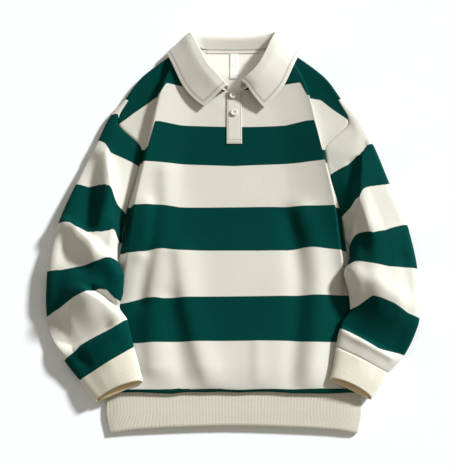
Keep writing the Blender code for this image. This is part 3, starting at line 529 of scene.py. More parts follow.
# The surface of the cloth: the share of light that it reflects, the grain of its clouds and its fuzz, and
# how strongly the loops, the fuzz and the rib's courses stand out.
CLOTH_GLOSS = 0.02
CLOUD_SCALE = 14.0
CLOUD_DETAIL = 4.0
TRIM_CLOUD_SCALE = 30.0
TRIM_SPREAD = 0.02
KNIT_RELIEF = 0.6
KNIT_FUZZ = 0.5
KNIT_FUZZ_SCALE = 900.0
LOOP_RELIEF = 0.3
RIB_RELIEF = 0.4
RIB_FUZZ = 0.8
RIB_FUZZ_SCALE = 700.0
RIB_GROOVE_RANGE = (0.1, 0.8)
RIB_POWER = 0.6

# Seams and sewing: how wide and deep the cloth is pressed in, how its edges are rounded, and where the
# collar's leaf starts on its way up from the neck seam.
SEAM_WIDTH = 2.2
SEAM_DEPTH_BELOW_ARM = 0.3
EDGE_LIP = 0.3
GROOVE_DEPTH = 0.5
GROOVE_WIDTH = 0.9
COLLAR_GROOVE = (1.4, 1.5)
MARGIN_PUFF = 0.7
EDGE_ROLL = 0.8
LEAF_STARTS = (14.0, 20.0)
PLACKET_CROWN = 0.5
PLACKET_BOX_Y = 154.5
TAPE_CROWN = 0.35
LABEL_CROWN = 0.15
CROWN_WIDTH = 1.6
LABEL_WAVE = 0.16
LABEL_WAVE_FADE = (4, 30)
LABEL_LIFT = 0.25
TAPE_STITCH_INSET = 1.0
SEWING_SINK = 0.1
STITCH_ARCH = 0.5
STITCH_END = 0.35

# Buttons: where the rim and the dish start, as shares of the radius, the four holes and their thread.
RIM_STARTS = 0.7
DISH_EDGE = (0.48, 0.70)
BUTTON_DISH = 0.8
HOLES_OUT = 1.7
HOLE_DEPTH = 1.2
HOLE_SIZE = 0.72
HOLE_POWER = 4
THREAD_WIDTH = 0.9
THREAD_SLACK = 0.01

# The stage: the camera in metres, degrees and pixels of the picture, the floor in millimetres.
AIM = (-0.0099, -0.0215, 0.015)
CAMERA_TILT = 15
CAMERA_DISTANCE = 1.62
SENSOR = 36
FOCAL_PIXELS = 900
PICTURE_HEIGHT = 466
LENS = FOCAL_PIXELS / PICTURE_HEIGHT * SENSOR
KEY_FROM = (0.73, 0.53, 0.43)
KEY_STRENGTH = 5.5
KEY_ANGLE = 0.12
FILL_STRENGTH = 0.36
FILL_COLOUR = (1.0, 0.905, 0.775, 1.0)
FLOOR_HALF = 3000.0
FLOOR_DROP = -0.4
FLOOR_CLOUD_SCALE = 3.0
FLOOR_SHADE = 0.995


def length_property(name, description, default):
    """A length setting, in metres."""
    return FloatProperty(name=name, description=description, default=default, unit="LENGTH")


def colour_property(name, description, default):
    """A colour setting."""
    return FloatVectorProperty(
        name=name, description=description, default=default, subtype="COLOR", size=3, min=0.0, max=1.0,
    )


class ShirtSizes(bpy.types.PropertyGroup):
    """Sizes of the knit, the ribs and the sewing."""

    wale: length_property("Knit wale", "Width of one column of knit loops", 0.0013)
    course: length_property("Knit course", "Height of one row of knit loops", 0.0010)
    knit_depth: length_property("Knit depth", "How deep the knit's relief is", 0.0003)
    rib_depth: length_property("Rib depth", "How deep the grooves of the rib knit are", 0.0004)
    seam_depth: length_property("Seam depth", "How far the cloth dips into a seam", 0.0012)
    stitch_inset: length_property("Stitch inset", "From the collar's edge to its topstitching", 0.007)
    placket_inset: length_property("Placket inset", "From the placket's edge to its stitching", 0.0025)
    stitch_length: length_property("Stitch length", "Length of one stitch", 0.0026)
    stitch_gap: length_property("Stitch gap", "From one stitch to the next", 0.0007)
    stitch_width: length_property("Stitch width", "Thickness of the sewing thread", 0.0006)


class ShirtFinish(bpy.types.PropertyGroup):
    """Colours and surface of the cloth and the trimmings."""

    cream: colour_property("Cream stripe", "The pale stripes", (0.69, 0.692, 0.63))
    green: colour_property("Green stripe", "The dark stripes", (0.0004, 0.046, 0.040))
    rib: colour_property("Rib knit", "Cuffs and hem band", (0.72, 0.70, 0.60))
    # Painted light: this warm pale colour stands in for light inside the cuffs and the hem band.
    rib_inside_painted_light: colour_property("Rib knit inside", "The insides of the cuffs", (0.86, 0.70, 0.44))
    collar: colour_property("Collar and placket", "The collar's cloth", (0.70, 0.70, 0.635))
    tape: colour_property("Neck tape", "The tape inside the neck", (0.72, 0.69, 0.62))
    satin: colour_property("Label", "The bare satin label", (0.85, 0.86, 0.88))
    button: colour_property("Buttons", "The buttons' resin", (0.78, 0.755, 0.69))
    thread: colour_property("Thread", "The sewing thread", (0.74, 0.70, 0.60))
    floor: colour_property("Floor", "The surface that the shirt lies on", (0.885, 0.95, 1.0))
    colour_spread: FloatProperty(
        name="Colour spread", description="How much the cloth's colour varies",
        default=0.05, subtype="FACTOR",
    )
    roughness: FloatProperty(
        name="Cloth roughness", description="How matt the knit is", default=0.85, subtype="FACTOR",
    )
    sheen: FloatProperty(
        name="Sheen", description="How much the knit's fuzz catches the light",
        default=0.01, subtype="FACTOR",
    )


def size(name):
    """A setting of the shirt's sizes, in millimetres."""
    return getattr(bpy.context.scene.shirt_sizes, name) / MM


def smooth_step(value, low, high):
    """0 below low, 1 above high, and 3 f^2 - 2 f^3 between them."""
    f = np.clip((value - low) / (high - low), 0, 1)
    return f * f * (3 - 2 * f)


def arc_lengths(points, axis):
    """How far each grid point lies along its line, measured over the surface."""
    steps = np.linalg.norm(np.diff(points, axis=axis), axis=-1)
    start = np.zeros_like(np.take(steps, [0], axis=axis))
    return np.concatenate([start, np.cumsum(steps, axis=axis)], axis=axis)


def path_lengths(path):
    """How far each point of a path lies along it."""
    return np.concatenate([[0], np.cumsum(np.linalg.norm(np.diff(path, axis=0), axis=1))])


def between_rows(rows, t):
    """Values between a table's rows, on a smooth curve that keeps within neighbouring rows.

    The slope at a row is the harmonic mean of the steps before and after it, or none where they turn.
    """
    rows = np.asarray(rows, float)
    step = np.diff(rows, axis=0)
    before, after = step[:-1], step[1:]
    same_way = before * after > 0
    total = np.where(same_way, before + after, 1.0)
    slope = np.concatenate([step[:1], np.where(same_way, 2 * before * after / total, 0.0), step[-1:]])
    t = np.asarray(t, float)
    low = np.clip(np.floor(t).astype(int), 0, len(rows) - 2)
    f = (t - low).reshape((-1,) + (1,) * (rows.ndim - 1))
    start = (2 * f**3 - 3 * f**2 + 1) * rows[low] + (f**3 - 2 * f**2 + f) * slope[low]
    return start + (3 * f**2 - 2 * f**3) * rows[low + 1] + (f**3 - f**2) * slope[low + 1]


def net_surface(net, along, across):
    """Points of a smooth surface through a net of rows, at the given places along and across it."""
    lines = between_rows(np.swapaxes(np.asarray(net, float), 0, 1), across)
    return between_rows(np.swapaxes(lines, 0, 1), along)


def mirrored(table, shared=0):
    """A whole net from the table of its half: the columns on the left, then the same ones on the right.

    shared is 1 where the last column is the centre line, which both sides share.
    """
    half = np.array(list(table.values()), float)
    return np.concatenate([half * (-1, 1, 1), half[:, ::-1][:, shared:]], axis=1)


def on_side(points, side):
    """A left piece's closed grid as the piece on the given side."""
    return points if side == "left" else (points * (-1, 1, 1))[:, ::-1]


def unit(vectors):
    """The vectors at length one."""
    length = np.linalg.norm(vectors, axis=-1, keepdims=True)
    return vectors / np.maximum(length, TINY)


def grid_normals(points, closed):
    """The normal at each point of a grid, from its neighbours; closed when the columns run round."""
    along = np.gradient(points, axis=0)
    if closed:
        across = np.roll(points, -1, axis=1) - np.roll(points, 1, axis=1)
    else:
        across = np.gradient(points, axis=1)
    return unit(np.cross(across, along))


def fold_height(x, y, folds):
    """How far the folds raise the cloth at each place in plan.

    A fold adds height * exp(-(distance / width)^2), with the distance from its path. Its width goes
    smoothly from the left one to the right one with the sine of the direction to the place.
    """
    total = np.zeros_like(x)
    for path, height, left_width, right_width in folds:
        nearest = np.full_like(x, np.inf)
        turn = np.zeros_like(x)
        for (x0, y0), (x1, y1) in zip(path[:-1], path[1:]):
            run = np.array([x1 - x0, y1 - y0], float)
            f = np.clip(((x - x0) * run[0] + (y - y0) * run[1]) / (run @ run), 0, 1)
            dx = x - x0 - f * run[0]
            dy = y - y0 - f * run[1]
            distance = np.hypot(dx, dy)
            side = (run[0] * dy - run[1] * dx) / (np.hypot(*run) * np.maximum(distance, TINY))
            turn = np.where(distance < nearest, side, turn)
            nearest = np.minimum(nearest, distance)
        width = (left_width + right_width + (left_width - right_width) * turn) / 2
        total += height * np.exp(-((nearest / width) ** 2))
    return total


def evened(inner, outer, closed):
    """The wall's inner points, moved between their neighbours where a turn is too tight for the cloth.

    A step that is under LEAST_STEP of the outer face's step, or runs backwards, marks its two points.
    """
    for _ in range(EVEN_ROUNDS):
        for axis in (1, 0):
            ahead = np.roll(inner, -1, axis) - inner
            outside = np.roll(outer, -1, axis) - outer
            tight = (ahead * outside).sum(-1) < LEAST_STEP * (outside * outside).sum(-1)
            has_ends = axis == 0 or not closed
            if has_ends:
                np.moveaxis(tight, axis, 0)[-1] = False
            loose = tight | np.roll(tight, 1, axis)
            if has_ends:
                np.moveaxis(loose, axis, 0)[[0, -1]] = False
            middle = (np.roll(inner, 1, axis) + np.roll(inner, -1, axis)) / 2
            inner = np.where(loose[..., None], (inner + middle) / 2, inner)
    return inner


def front_net():
    """The front panel's net, with the two columns beside the slit moved to its edges."""
    net = mirrored(FRONT_ROWS)
    net[:, FRONT_COLUMNS - 1, 0] = SLIT_CENTRE - SLIT_HALF
    net[:, FRONT_COLUMNS, 0] = SLIT_CENTRE + SLIT_HALF
    crest = list(FRONT_ROWS).index("stripe_4") + np.arange(len(CREST_SHIFTS[0]))
    net[crest, CREST_COLUMN, 0] -= CREST_SHIFTS[0]
    net[crest, -1 - CREST_COLUMN, 0] += CREST_SHIFTS[1]
    return net


def front_levels():
    """Levels of the front's rows: the curl at the hem, even steps to the armpit, then up to the top."""
    above_steps = round((LAST_FRONT_LEVEL - ARMPIT_LEVEL) * LEVEL_STEPS)
    curl = np.linspace(0, BLOUSE_LEVEL, HEM_CURL_STEPS + 1)
    below = np.linspace(BLOUSE_LEVEL, ARMPIT_LEVEL, FRONT_STEPS_BELOW_ARM + 1)
    above = np.linspace(ARMPIT_LEVEL, LAST_FRONT_LEVEL, above_steps + 1)
    return np.concatenate([curl, below[1:], above[1:]])


def front_places():
    """Places across the front, with lines on both edges of the slit."""
    side = np.linspace(0, FRONT_COLUMNS - 1, FRONT_HALF_STEPS + 1)
    slit = np.linspace(FRONT_COLUMNS - 1, FRONT_COLUMNS, SLIT_STEPS + 1)[1:-1]
    return np.concatenate([side, slit, FRONT_COLUMNS + side])


def back_surface(along, across):
    """The back panel's outer face, which is its underside, then the turn over each shoulder.

    A point of the turn lies at the top row + radius * (sin angle * facing, 1 - cos angle).
    """
    net = mirrored(BACK_ROWS, shared=1)
    flat = net_surface(net, along, across)
    turn = np.array([row[1:] for row in SHOULDER_TURN], float)
    whole = np.concatenate([turn, turn[-2::-1] * (1, 1, -1, 1)])
    degrees, radius, facing_x, facing_y = between_rows(whole, across).T
    share = np.linspace(0, 1, TURN_STEPS + 1)[1:, None]
    angle = np.radians(degrees)[None, :] * share
    reach = radius * np.sin(angle)
    facing = unit(np.stack([facing_x, facing_y], axis=-1))
    curl = np.empty((TURN_STEPS, len(across), 3))
    curl[..., 0] = flat[-1, :, 0] + reach * facing[:, 0]
    curl[..., 1] = flat[-1, :, 1] + reach * facing[:, 1]
    curl[..., 2] = flat[-1, :, 2] + radius * (1 - np.cos(angle))
    return np.concatenate([flat, curl])


def back_levels():
    """Levels of the back's rows, up to where it turns over the shoulder."""
    last_row = len(BACK_ROWS) - 1
    return np.linspace(0, last_row, last_row * BACK_LEVEL_STEPS + 1)


def armhole_ring():
    """The sleeve's first ring, just outside the panels' side edges, for the left side, and its angles.

    It starts under the arm, runs up the front's edge, round the shoulder turn and down the back's edge,
    with a point for each row of the panels. A point's angle fits its share of that edge's length, as
    1 - cos(angle) does in the sleeve's sections.
    """
    two_columns = np.array([0.0, SECOND_COLUMN])
    levels = front_levels()
    front = front_surface(levels[levels > ARMPIT_LEVEL - LEVEL_SLACK], two_columns)
    levels = back_levels()
    back = back_surface(levels[levels > BACK_ARMPIT_LEVEL - LEVEL_SLACK], two_columns)
    flat = len(back) - TURN_STEPS
    edges = []
    for panel in (front, back):
        away = unit((panel[:, 0] - panel[:, 1]) * (1, 1, 0))
        if panel is back:
            away[flat:] = away[flat - 1]
        edges.append(panel[:, 0] + away * ARMHOLE_GAP)
    front_edge, back_edge = edges
    turn = back_edge[flat:-1][::-1]
    down = back_edge[:flat][::-1]
    ring = np.concatenate([[UNDER_ARM], front_edge, turn, down])
    rising = edge_angles(front_edge)
    turning = np.linspace(rising[-1], 2 * np.pi - rising[-1], len(turn) + 2)[1:-1]
    falling = 2 * np.pi - edge_angles(down[::-1])[::-1]
    return ring, np.concatenate([[0.0], rising, turning, falling])


def edge_angles(edge):
    """Angles from FIRST_ANGLE to LAST_ANGLE for the points of an armhole edge, by their shares of it."""
    length = path_lengths(edge)
    share = length / length[-1]
    share += ANGLE_LEAD * share * (1 - share)
    return np.arccos(np.cos(FIRST_ANGLE) - share * (np.cos(FIRST_ANGLE) - np.cos(LAST_ANGLE)))


def section_rings(rows, angles):
    """One ring for each section: level at its edges, rounded over the top and nearly flat below.

    With u = cos(angle), the top is edge + (height(u) - edge) * (1 - u^TOP_POWER)^EDGE_POWER, and the
    underside is edge * (1 - (1 - u^UNDER_POWER)^EDGE_POWER).
    """
    rows = np.asarray(rows, float)
    u = np.cos(angles)
    share = (1 - u) / 2
    rings = np.empty((len(rows), len(angles), 3))
    rings[..., 0] = -(rows[:, 2:3] + (rows[:, 0:1] - rows[:, 2:3]) * share)
    rings[..., 1] = rows[:, 3:4] + (rows[:, 1:2] - rows[:, 3:4]) * share
    edge = rows[:, 5:6] + (rows[:, 4:5] - rows[:, 5:6]) * share
    tops = rows[:, TOP_COLUMNS]
    place = np.interp(-u, [-value for value in TOP_PLACES], np.arange(len(TOP_PLACES)))
    top = between_rows(tops.T, place).T
    rounded = (1 - u**TOP_POWER).clip(0) ** EDGE_POWER
    flattened = (1 - u**UNDER_POWER).clip(0) ** EDGE_POWER
    over = edge + (top - edge) * rounded
    under = edge * (1 - flattened)
    rings[..., 2] = np.where(np.sin(angles) > 0, over, under)
    return rings


def height_map(points):
    """Heights of what lies below, in plan cells, spread sideways and then sloped down to the floor."""
    count = int(2 * MAP_HALF / MAP_CELL)
    heights = np.zeros((count, count))
    cells = ((points[..., :2] + MAP_HALF) / MAP_CELL).astype(int).reshape(-1, 2)
    np.maximum.at(heights, (cells[:, 0], cells[:, 1]), points[..., 2].reshape(-1))
    for step in range(MAP_SPREAD + MAP_SKIRT):
        drop = 0.0 if step < MAP_SPREAD else MAP_DROP
        spread = heights.copy()
        for axis in (0, 1):
            for way in (1, -1):
                spread = np.maximum(spread, np.roll(heights, way, axis) - drop)
        heights = spread
    return heights


def height_at(heights, x, y):
    """The height in the map at each place, from the four cells around it."""
    column = (x + MAP_HALF) / MAP_CELL - 0.5
    row = (y + MAP_HALF) / MAP_CELL - 0.5
    i, j = np.floor(column).astype(int), np.floor(row).astype(int)
    f, g = column - i, row - j
    low = heights[i, j] * (1 - f) + heights[i + 1, j] * f
    high = heights[i, j + 1] * (1 - f) + heights[i + 1, j + 1] * f
    return low * (1 - g) + high * g


def under_sleeves():
    """The height map of the front below the armpit and of the hem band, for the left half."""
    levels = np.linspace(0, ARMPIT_LEVEL - MAP_BELOW_ARMPIT, MAP_FRONT_STEPS[0])
    front = front_surface(levels, np.linspace(0, FRONT_MIDDLE, MAP_FRONT_STEPS[1]))
    band_along = np.linspace(0, len(BAND_ROWS) - 1, MAP_BAND_STEPS[0])
    band_across = np.linspace(0, LAST_BAND_COLUMN, MAP_BAND_STEPS[1])
    band = band_surface(band_along, band_across, MAP_BAND_TURN_STEPS)
    return height_map(np.concatenate([front.reshape(-1, 3), band.reshape(-1, 3)]))


def lie_on(points, heights, from_row):
    """The points, lifted where they would reach into what lies below them."""
    ground = height_at(heights, points[..., 0], points[..., 1])
    lifted = np.maximum(points[..., 2], ground + SEAM_GAP)
    points[from_row:, :, 2] = lifted[from_row:]
    return points


def sleeve_surface(side, along, heights):
    """The sleeve's outer face, built as a left one and mirrored for the right."""
    armhole, angles = armhole_ring()
    rings = np.concatenate([armhole[None], section_rings(SLEEVE_ROWS[side], angles)])
    points = between_rows(rings, along)
    last = len(SLEEVE_ROWS[side])
    fade = smooth_step(along, *FADE_FROM_ARMHOLE) * smooth_step(last - along, *FADE_FROM_CUFF)
    over = np.sin(angles).clip(0) ** FADE_ROUND_POWER
    x = points[..., 0] if side == "left" else -points[..., 0]
    raised = fold_height(x, points[..., 1], SLEEVE_FOLDS[side])
    points[..., 2] += fade[:, None] * over[None, :] * raised
    start = int(np.argmax(along > SLEEVE_LIES_ON_BODY_FROM))
    return on_side(lie_on(points, heights, start), side)


def cuff_surface(side, along, angles, heights):
    """The cuff's outer face: a tube from the sleeve's end, with the top of its mouth drawn back."""
    rows = [np.array(SLEEVE_ROWS[side][-1], float)] + [np.array(row, float) for row in CUFF_ROWS[side]]
    middle = [(row[0:2] + row[2:4]) / 2 for row in rows]
    forward = unit(middle[1] - middle[0])
    rows[0][0:4] += np.tile(forward * CUFF_GAP, 2)
    points = between_rows(section_rings(rows, angles), along)
    back = unit(middle[0] - middle[-1]) * (-1, 1)
    last = len(rows) - 1
    drawn = CUFF_TOP_SET_BACK * (along[:, None] / last) ** 2 * np.sin(angles).clip(0)[None, :]
    points[..., :2] += drawn[..., None] * back
    return on_side(lie_on(points, heights, 0), side)


def band_surface(along, across, turn_steps):
    """The hem band's outer face: top, half circle at the right side, underside, then the left side."""
    top = net_surface(mirrored(BAND_ROWS, shared=1), along, across)
    beta = np.linspace(90, -90, turn_steps + 1)[1:-1]
    radius = top[:, -1:, 2] / 2
    turn = np.empty((len(along), len(beta), 3))
    turn[..., 0] = top[:, -1:, 0] + radius * np.cos(np.radians(beta))
    turn[..., 1] = top[:, -1:, 1]
    turn[..., 2] = radius * (1 + np.sin(np.radians(beta)))
    below = top[:, ::-1] * (1, 1, 0)
    return np.concatenate([top, turn, below, turn[:, ::-1] * (-1, 1, 1)], axis=1)


def collar_surface(along, across):
    """The middle of the collar's cloth, from its left point round the back to its right point."""
    left = np.array(list(COLLAR_ROWS.values()), float) * (-1, 1, 1)
    right = np.array(list(COLLAR_ROWS.values()), float)[-2::-1]
    right[-1] = COLLAR_RIGHT_POINT
    return net_surface(np.concatenate([left, right]), along, across)


def strip_on(profile, x_range, y_range, lift, steps):
    """A strip's outer face, at a constant height over a panel's profile along its centre line.

    steps are those along the strip and across it.
    """
    x, y = np.meshgrid(np.linspace(*x_range, steps[1] + 1), np.linspace(*y_range, steps[0] + 1))
    order = np.argsort(profile[:, 1])
    return np.stack([x, y, np.interp(y, profile[order, 1], profile[order, 2]) + lift], axis=-1)


def front_profile():
    """The front's outer face along its centre, above the hem."""
    levels = np.linspace(PROFILE_LEVEL, LAST_FRONT_LEVEL, PROFILE_STEPS)
    return front_surface(levels, np.array([FRONT_MIDDLE]))[:, 0]


def front_surface(along, across):
    """The front panel's outer face, with its folds, which fade out towards every edge of the panel."""
    points = net_surface(front_net(), along, across)
    tucked = np.exp(-((along - TUCK_LEVEL) ** 2))[:, None]
    points[..., 1] += tucked * np.interp(points[..., 0], *HEM_WAVES)
    from_hem = smooth_step(along, *FADE_FROM_HEM)
    from_top = smooth_step(LAST_FRONT_LEVEL - 1 - along, *FADE_FROM_TOP)
    from_side = smooth_step(FRONT_MIDDLE - np.abs(across - FRONT_MIDDLE), *FADE_FROM_SIDE)
    fade = np.minimum(from_hem, from_top)[:, None] * from_side[None, :]
    points[..., 2] += fade * fold_height(points[..., 0], points[..., 1], FRONT_FOLDS)
    return points


class Wall:
    """A cloth piece's closed wall on a grid: the outer face, the same moved in, and rounded edges."""

    def __init__(self, outer, thickness, closed=False, keep=None, inner=None, even=False):
        """outer is a grid of points; closed when its columns run round; keep marks the cells of cloth.

        inner is the other face where it isn't the outer one moved in, and even evens it out. An edge's
        extra line lies EDGE_LIP * thickness outside the middle of the wall.
        """
        self.rows, self.columns = outer.shape[:2]
        self.closed = closed
        normals = grid_normals(outer, closed)
        if inner is None:
            inner = outer - normals * thickness
        if even:
            inner = evened(inner, outer, closed)
        self.outer = outer
        cell_columns = self.columns if closed else self.columns - 1
        if keep is None:
            keep = np.ones((self.rows - 1, cell_columns), bool)
        number = np.arange(self.rows * self.columns).reshape(self.rows, self.columns)
        if closed:
            number = np.concatenate([number, number[:, :1]], axis=1)
        a, b, c, d = number[:-1, :-1], number[:-1, 1:], number[1:, 1:], number[1:, :-1]
        count = self.rows * self.columns
        cells = np.stack([a, b, c, d], axis=-1)[keep]
        around = np.pad(keep, 1)
        if closed:
            around[1:-1, 0], around[1:-1, -1] = keep[:, -1], keep[:, 0]
        beyond_rows = [around[:-2, 1:-1], around[1:-1, 2:], around[2:, 1:-1], around[1:-1, :-2]]
        sides = list(zip((a, b, c, d), (b, c, d, a), beyond_rows))
        first = np.concatenate([start[keep & ~beyond] for start, _, beyond in sides])
        second = np.concatenate([end[keep & ~beyond] for _, end, beyond in sides])
        flat_outer, flat_inner = outer.reshape(-1, 3), inner.reshape(-1, 3)
        flat_normals = normals.reshape(-1, 3)
        away = np.zeros_like(flat_outer)
        outward = unit(np.cross(flat_outer[second] - flat_outer[first], flat_normals[first]))
        np.add.at(away, first, outward)
        np.add.at(away, second, outward)
        middle = (flat_outer + flat_inner) / 2 + unit(away) * EDGE_LIP * thickness
        rims = [
            np.stack([first, first + 2 * count, second + 2 * count, second], axis=-1),
            np.stack([first + 2 * count, first + count, second + count, second + 2 * count], axis=-1),
        ]
        faces = np.concatenate([cells, cells[:, ::-1] + count, *rims])
        vertices = np.concatenate([flat_outer, flat_inner, middle])
        self.used, numbers = np.unique(faces, return_inverse=True)
        self.faces = numbers.reshape(faces.shape)
        self.vertices = vertices[self.used]
        self.count = count

    def spread(self, values, inner=None):
        """A value for each grid point as one for each vertex. inner, if given, is the whole inner face's."""
        whole = np.tile(np.ravel(values), 3)
        if inner is not None:
            whole[self.count : 2 * self.count] = inner
        return whole[self.used]


def new_object(name, vertices, faces, material, values=None, rides=True):
    """A mesh object from millimetres, with a float attribute for each of the named values."""
    mesh = bpy.data.meshes.new(name)
    mesh.vertices.add(len(vertices))
    mesh.vertices.foreach_set("co", (np.asarray(vertices) * MM).astype(np.float32).ravel())
    size = faces.shape[1]
    mesh.loops.add(faces.size)
    mesh.loops.foreach_set("vertex_index", faces.astype(np.int32).ravel())
    mesh.polygons.add(len(faces))
    mesh.polygons.foreach_set("loop_start", np.arange(0, faces.size, size, dtype=np.int32))
    mesh.polygons.foreach_set("use_smooth", np.ones(len(faces), bool))
    mesh.update(calc_edges=True)
    for key, value in (values or {}).items():
        attribute = mesh.attributes.new(key, "FLOAT", "POINT")
        attribute.data.foreach_set("value", np.asarray(value, np.float32).ravel())
    mesh.materials.append(material)
    piece = bpy.data.objects.new(name, mesh)
    bpy.context.scene.collection.objects.link(piece)
    if rides:
        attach(piece, "root")
    return piece


def add_cloth(name, wall, material, inner=None, **values):
    """A wall as an object, with its own weave map in metres and the values that its material reads.

    inner gives the inner face's number for the values that aren't the same there.
    """
    across = arc_lengths(wall.outer, 1)
    across -= across[:, wall.columns // 2 : wall.columns // 2 + 1]
    values["weave_u"] = across * MM
    values["weave_v"] = arc_lengths(wall.outer, 0) * MM
    inner = inner or {}
    values = {key: wall.spread(value, inner.get(key)) for key, value in values.items()}
    return new_object(name, wall.vertices, wall.faces, material, values)


class Value:
    """A number in a material's nodes. Maths on it adds the node that works it out."""

    def __init__(self, finish, socket):
        self.finish = finish
        self.socket = socket

    def maths(self, operation, *others):
        """A Math node on this value and the others."""
        return self.finish.node("ShaderNodeMath", {"operation": operation}, self, *others)

    def __add__(self, other):
        return self.maths("ADD", other)

    def __sub__(self, other):
        return self.maths("SUBTRACT", other)

    def __mul__(self, other):
        return self.maths("MULTIPLY", other)

    def __rsub__(self, other):
        return self.finish.node("ShaderNodeMath", {"operation": "SUBTRACT"}, other, self)

    __radd__ = __add__
    __rmul__ = __mul__


class Finish:
    """A material in the making, round its Principled shader."""

    def __init__(self, name, **fixed):
        """fixed holds the shader's sockets that are the same all over, by name."""
        self.material = bpy.data.materials.new(name)
        self.material.use_nodes = True
        self.tree = self.material.node_tree
        self.shader = self.tree.nodes["Principled BSDF"]
        for socket, value in fixed.items():
            self.shader.inputs[socket.replace("_", " ")].default_value = value

    def node(self, kind, settings, *inputs, output=0, **named):
        """Adds a node with its settings, then its sockets in order and by name, and returns an output."""
        node = self.tree.nodes.new(kind)
        for key, value in settings.items():
            setattr(node, key, value)
        for socket, value in zip(node.inputs, inputs):
            self.plug(socket, value)
        for key, value in named.items():
            self.plug(node.inputs[key.replace("_", " ")], value)
        return Value(self, node.outputs[output])

    def plug(self, socket, value):
        """Links a value to a socket, or sets the socket to a plain number or colour."""
        if isinstance(value, Value):
            self.tree.links.new(value.socket, socket)
        else:
            socket.default_value = value

    def attribute(self, name):
        """A float attribute of the mesh."""
        return self.node("ShaderNodeAttribute", {"attribute_name": name}, output=2)

    def noise(self, scale, detail=2.0):
        """Soft noise from 0 to 1 over the object's own coordinates."""
        place = self.node("ShaderNodeTexCoord", {}, output=3)
        return self.node("ShaderNodeTexNoise", {}, Vector=place, Scale=scale, Detail=detail)

    def step(self, value, low, high):
        """0 below low and 1 above high."""
        return self.node("ShaderNodeMapRange", {"clamp": True}, value, low, high, 0.0, 1.0)

    def mixed(self, factor, first, second):
        """A colour between two, by the factor."""
        node = self.tree.nodes.new("ShaderNodeMix")
        node.data_type = "RGBA"
        for place, value in zip(MIX_COLOUR_INPUTS, (factor, first, second)):
            self.plug(node.inputs[place], value)
        return Value(self, node.outputs[2])

    def colour(self, value):
        """Gives the surface its colour."""
        self.plug(self.shader.inputs["Base Color"], value)

    def bump(self, height, distance):
        """Bumps the surface by the height times the distance, in metres."""
        bump = self.node("ShaderNodeBump", {}, Strength=1.0, Distance=distance, Height=height)
        self.plug(self.shader.inputs["Normal"], bump)


def cloth(name):
    """A matt cloth's material in the making."""
    look = bpy.context.scene.shirt_finish
    return Finish(name, Roughness=look.roughness, Sheen_Weight=look.sheen, Specular_IOR_Level=CLOTH_GLOSS)


def rgba(colour, shade=1.0):
    """A colour of the settings as four numbers, made darker or paler."""
    return (*(channel * shade for channel in colour), 1.0)


def knit_bump(finish):
    """Plain knit's relief, with a little fuzz."""
    sizes = bpy.context.scene.shirt_sizes
    loops = knit_height(finish, sizes.wale, sizes.course) * KNIT_RELIEF
    finish.bump(loops + finish.noise(KNIT_FUZZ_SCALE) * KNIT_FUZZ, sizes.knit_depth)


def knit_height(finish, wale, course):
    """The height of plain knit: two legs to a wale, each a slanted row of loops.

    With leg = the zigzag of u / wale and r = LOOP_RELIEF, it is
    sin(2 pi leg) * (1 - r + r sin(2 pi (v / course + leg))).
    """
    leg = (finish.attribute("weave_u") * (1 / wale)).maths("PINGPONG", 0.5)
    loop = ((finish.attribute("weave_v") * (1 / course) + leg) * math.tau).maths("SINE")
    return (leg * math.tau).maths("SINE") * (loop * LOOP_RELIEF + (1 - LOOP_RELIEF))


def shaded(finish, colour, spread, scale=CLOUD_SCALE):
    """The colour with soft darker and paler clouds in it."""
    clouds = finish.noise(scale, CLOUD_DETAIL)
    return finish.mixed(clouds, rgba(colour, 1 - spread), rgba(colour, 1 + spread))


def knit_finish(name, colour):
    """Thick plain knit in one colour, with painted shade in its seam grooves."""
    finish = cloth(name)
    plain = shaded(finish, colour, bpy.context.scene.shirt_finish.colour_spread)
    # The seam value paints shade into the grooves of the stitching.
    finish.colour(finish.mixed(finish.attribute("seam"), plain, rgba(colour, SEAM_PAINTED_SHADE)))
    knit_bump(finish)
    return finish.material


def striped_finish(name):
    """Thick plain knit, green wherever the stripe value lies between an odd number and the next."""
    look = bpy.context.scene.shirt_finish
    finish = cloth(name)
    wave = (finish.attribute("stripe") * math.pi).maths("SINE")
    green = 1 - finish.step(wave, -STRIPE_EDGE, STRIPE_EDGE)
    cream = shaded(finish, look.cream, look.colour_spread)
    dark = shaded(finish, look.green, look.colour_spread * 2)
    # Painted light on the back's inner face, and painted shade on the crest beside the right armhole.
    cream = finish.mixed(finish.attribute("inside"), cream, rgba(look.cream, INSIDE_PAINTED_LIGHT))
    cream = finish.mixed(finish.attribute("seam"), cream, rgba(look.cream, CREST_PAINTED_SHADE))
    finish.colour(finish.mixed(green, cream, dark))
    knit_bump(finish)
    return finish.material


def rib_finish(name, shade):
    """Rib knit: ribs in the mesh, with painted shade in the grooves and painted light on its inner face."""
    look = bpy.context.scene.shirt_finish
    finish = cloth(name)
    groove = finish.step(finish.attribute("rib"), *RIB_GROOVE_RANGE)
    # shade paints the knit paler all over, as on the cuffs, where it is painted light.
    plain = shaded(finish, [channel * shade for channel in look.rib], look.colour_spread)
    outside = finish.mixed(groove, plain, rgba(look.rib, RIB_GROOVE_PAINTED_SHADE * shade))
    finish.colour(finish.mixed(finish.attribute("inside"), outside, rgba(look.rib_inside_painted_light)))
    sizes = bpy.context.scene.shirt_sizes
    courses = (finish.attribute("weave_v") * (math.tau / sizes.course)).maths("SINE")
    finish.bump(courses * RIB_RELIEF + finish.noise(RIB_FUZZ_SCALE) * RIB_FUZZ, sizes.knit_depth)
    return finish.material


def plain_finish(name, colour, roughness, grain=0.0, **fixed):
    """A plain material with faint clouds and, where grain isn't 0, a fine grain of that depth."""
    finish = Finish(name, Roughness=roughness, **fixed)
    finish.colour(shaded(finish, colour, TRIM_SPREAD, TRIM_CLOUD_SCALE))
    if grain:
        finish.bump(finish.noise(KNIT_FUZZ_SCALE), grain)
    return finish.material


